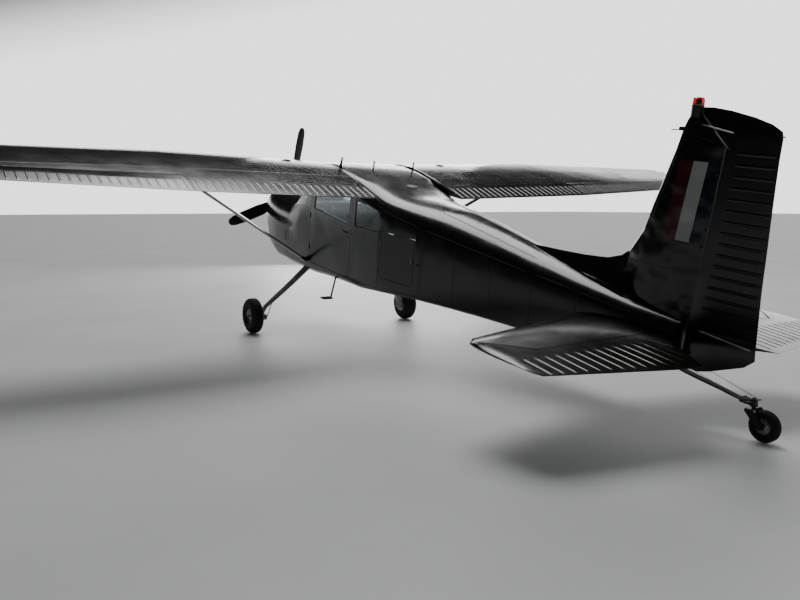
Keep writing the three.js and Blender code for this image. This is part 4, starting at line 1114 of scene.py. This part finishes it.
def inflate(piece):
    # Blows a pad up against its own cover, then holds every point near where it started
    mesh = piece.data
    remesh = piece.modifiers.new("even", 'REMESH')
    remesh.mode = 'VOXEL'
    remesh.voxel_size = padding["voxel"]
    applied = bpy.data.meshes.new_from_object(piece.evaluated_get(bpy.context.evaluated_depsgraph_get()))
    piece.modifiers.clear()
    piece.data = applied
    bpy.data.meshes.remove(mesh)
    rest = [vert.co.copy() for vert in applied.vertices]
    cloth = piece.modifiers.new("air", 'CLOTH')
    cloth.settings.use_pressure = True
    cloth.settings.uniform_pressure_force = padding["pressure"]
    cloth.settings.effector_weights.gravity = 0.0
    cloth.settings.quality = 5
    cloth.collision_settings.use_collision = False
    cloth.point_cache.frame_start = 1
    cloth.point_cache.frame_end = padding["frames"]
    for number in range(1, padding["frames"] + 1):
        bpy.context.scene.frame_set(number)
    blown = piece.evaluated_get(bpy.context.evaluated_depsgraph_get()).to_mesh()
    moved = [vert.co.copy() for vert in blown.vertices]
    piece.modifiers.clear()
    for vert, start, end in zip(applied.vertices, rest, moved):
        step = end - start
        if step.length > padding["cap"]:
            step *= padding["cap"] / step.length
        vert.co = start + step
    bpy.context.scene.frame_set(1)


def makePad(name, centre, dims, turn):
    bm = bmesh.new()
    softBlock(bm, centre, dims, min(dims) * padding["rounding"], turn, 4)
    pad = putPiece(bm, name, "cloth", crease=math.radians(80))
    inflate(pad)
    pad.data.polygons.foreach_set("use_smooth", [True] * len(pad.data.polygons))
    if not pad.data.materials:
        pad.data.materials.append(finishes["cloth"])


def makeSeatPads(node, one):
    y, half, front, back, seat, top = (one[key] for key in ("y", "half", "front", "back", "seat", "top"))
    lean = Matrix.Rotation(-math.atan2(90, top - seat) - 0.02, 4, 'Y')
    thick, inset = padding["thick"], padding["inset"]
    words = ("_right", "_left") if half > 300 else ("",)
    wide = half * 2 / len(words) - inset * 2
    for i, word in enumerate(words):
        across = y + (i - (len(words) - 1) / 2) * half
        middle = ((front + back) / 2, across, seat - thick)
        makePad(node + word + "_cushion", middle, (front - back - inset * 2, wide, thick), None)
        middle = (back - 40 - 47 * (top - seat) / 500, across, (seat + top) / 2 + 8)
        makePad(node + word + "_back", middle, (padding["backThick"], wide, top - seat - 46), lean)


def makeSeatFrame(node, one):
    y, half, front, back, seat, top = (one[key] for key in ("y", "half", "front", "back", "seat", "top"))
    under = seat - seatFrame["drop"]
    reach = half - seatFrame["inset"]
    bm = bmesh.new()
    softBlock(bm, ((front + back) / 2, y, under), (front - back - 20, half * 2 - 20, 8), 3)
    for x in (front - 60, back + 20):
        for side, _ in leftRight:
            leg = y + side * (half - 70)
            roundBar(bm, (x, leg, one["foot"] + 4), (x, leg, under), seatFrame["leg"], sides=16)
            spun(bm, disc(20, 6), (x, leg, one["foot"] + 1), up, 20)
    low, high = Vector((back - 20, y, seat - 100)), Vector((back - 120, y, top - 20))
    for side, _ in leftRight:
        aside = Vector((0, side * reach, 0))
        roundBar(bm, low + aside, high + aside, seatFrame["side"], sides=16)
    for part in seatFrame["rails"]:
        middle = low.lerp(high, part)
        aside = Vector((0, reach, 0))
        roundBar(bm, middle - aside, middle + aside, seatFrame["rail"], sides=14)
    putPiece(bm, node + "_frame", "grey", "root", [node])


def makeSeats():
    for node, one in seatShapes.items():
        makeSeatPads(node, one)
        makeSeatFrame(node, one)


makeSeats()

print("panel and controls")
panelFace = {"x": -344, "half": 440, "bottom": 560, "top": 838}
aft = (-1, 0, 0)
# Each dial's place across and up, and its radius
dials = [(y, z, 38) for y in (134, 232, 330) for z in (772, 682)]
dials += [(y, z, 27) for y in (-190, -262, -334) for z in (778, 706)]
dials += [(-392, 742, 24), (396, 742, 24)]
knobs = {"z": 592, "places": (-330, -290, -250, -210, -72, -36, 0, 36, 72, 120, 160, 300, 340)}
yoke = {"y": (235, -235), "z": 655, "x": -557}


def clockWay(degrees):
    # A direction across the fuselage, turned from straight up
    turn = math.radians(degrees)
    return Vector((0, math.sin(turn), math.cos(turn)))


def addShade(bm):
    # The hood over the panel, wide at the panel and narrow at the windscreen
    half, top = panelFace["half"], panelFace["top"]
    shade = bmesh.new()
    corners = [(-120, 230), (-120, -230), (-372, -half), (-372, half)]
    verts = [shade.verts.new((a, b, z)) for z in (top - 6, top + 8) for a, b in corners]
    shade.faces.new(verts[3::-1])
    shade.faces.new(verts[4:])
    for i in range(4):
        k = (i + 1) % 4
        shade.faces.new((verts[i], verts[k], verts[k + 4], verts[i + 4]))
    bmesh.ops.recalc_face_normals(shade, faces=shade.faces[:])
    bmesh.ops.bevel(shade, geom=shade.edges[:], offset=4, segments=3, profile=0.5, affect='EDGES',
                    material=-1)
    absorb(bm, shade)


def addYoke(bm, x, y):
    # A control wheel on its shaft: hub, two arms and two grips
    z = yoke["z"]
    spun(bm, [(12, 0), (22, 0), (20, 8), (12, 8)], (x, y, z), aft, 24)
    roundBar(bm, (x + 4, y, z), (yoke["x"] - 3, y, z + 12), 11, sides=18)
    softBlock(bm, (yoke["x"], y, z + 13), (21, 96, 25), 7, segments=3)
    for side, _ in leftRight:
        tilt = Matrix.Rotation(side * 0.06, 4, 'X')
        softBlock(bm, (yoke["x"], y + side * 80, z + 14), (20, 86, 24), 8, tilt, 3)
        softBlock(bm, (yoke["x"], y + side * 112, z + 73), (21, 24, 122), 9, segments=3)


def makePanel():
    x, half, bottom, top = (panelFace[key] for key in ("x", "half", "bottom", "top"))
    bm = bmesh.new()
    faces = bmesh.new()
    marks = bmesh.new()
    softBlock(bm, (x + 7, 0, (bottom + top) / 2), (14, half * 2, top - bottom), 3)
    addShade(bm)
    for i, (y, z, radius) in enumerate(dials):
        bezel = [(radius - 5, 0), (radius + 4, 0), (radius + 4, 4), (radius, 7), (radius - 5, 5)]
        spun(bm, bezel, (x, y, z), aft, 32)
        spun(faces, disc(radius - 4, 2, 0.5), (x, y, z), aft, 32)
        foot = Vector((x - 2.4, y, z))
        for k in range(12):
            way = clockWay(30 * k)
            roundBar(marks, foot + way * (radius - 12), foot + way * (radius - 7), 0.9, sides=4)
        way = clockWay(47 * i + 20)
        foot = Vector((x - 3, y, z))
        roundBar(marks, foot - way * radius * 0.2, foot + way * radius * 0.62, 1.6, 0.6, sides=6)
    for z, height in ((786, 44), (734, 44), (686, 36)):
        softBlock(bm, (x - 6, 0, z), (14, 168, height), 3)
        for side, _ in leftRight:
            roundBar(bm, (x - 12, side * 66, z), (x - 30, side * 66, z), 9, 8, 16)
        softBlock(faces, (x - 13.5, 0, z + 3), (2, 96, height * 0.4), 0.6)
    z = knobs["z"]
    for y in knobs["places"]:
        # The engine's controls in the middle stand out further than the switches
        reach, wide, narrow = (26, 11, 9) if abs(y) < 80 else (14, 6, 5)
        roundBar(bm, (x, y, z), (x - reach, y, z), 4, sides=10)
        roundBar(bm, (x - reach, y, z), (x - reach - 12, y, z), wide, narrow, 16)
    for y in yoke["y"]:
        addYoke(bm, x, y)
    putPiece(bm, "panel_and_wheels", "black", "root", ["instrument_panel"])
    putPiece(faces, "dial_faces", "dial")
    putPiece(marks, "dial_marks", "mark")


makePanel()

print("propeller and nose")
spinner = {"middle": Vector((1090, 0, 737)), "bands": ((1071, 167.4), (1180, 152.6)), "screws": 18,
           "radius": 163}


def makeNose():
    # Two bands round the spinner and a row of screws
    bm = bmesh.new()
    for x, radius in spinner["bands"]:
        band = [(radius - 4, -4), (radius + 0.5, -4), (radius + 0.5, 4), (radius - 4, 4)]
        spun(bm, band, (x, 0, spinner["middle"].z), (1, 0, 0), 64)
    for i in range(spinner["screws"]):
        way = clockWay(360 / spinner["screws"] * i + 6)
        spun(bm, disc(5, 2), spinner["middle"] + way * spinner["radius"], way, 10)
    putPiece(bm, "spinner_bands", "steel", "propeller")


makeNose()
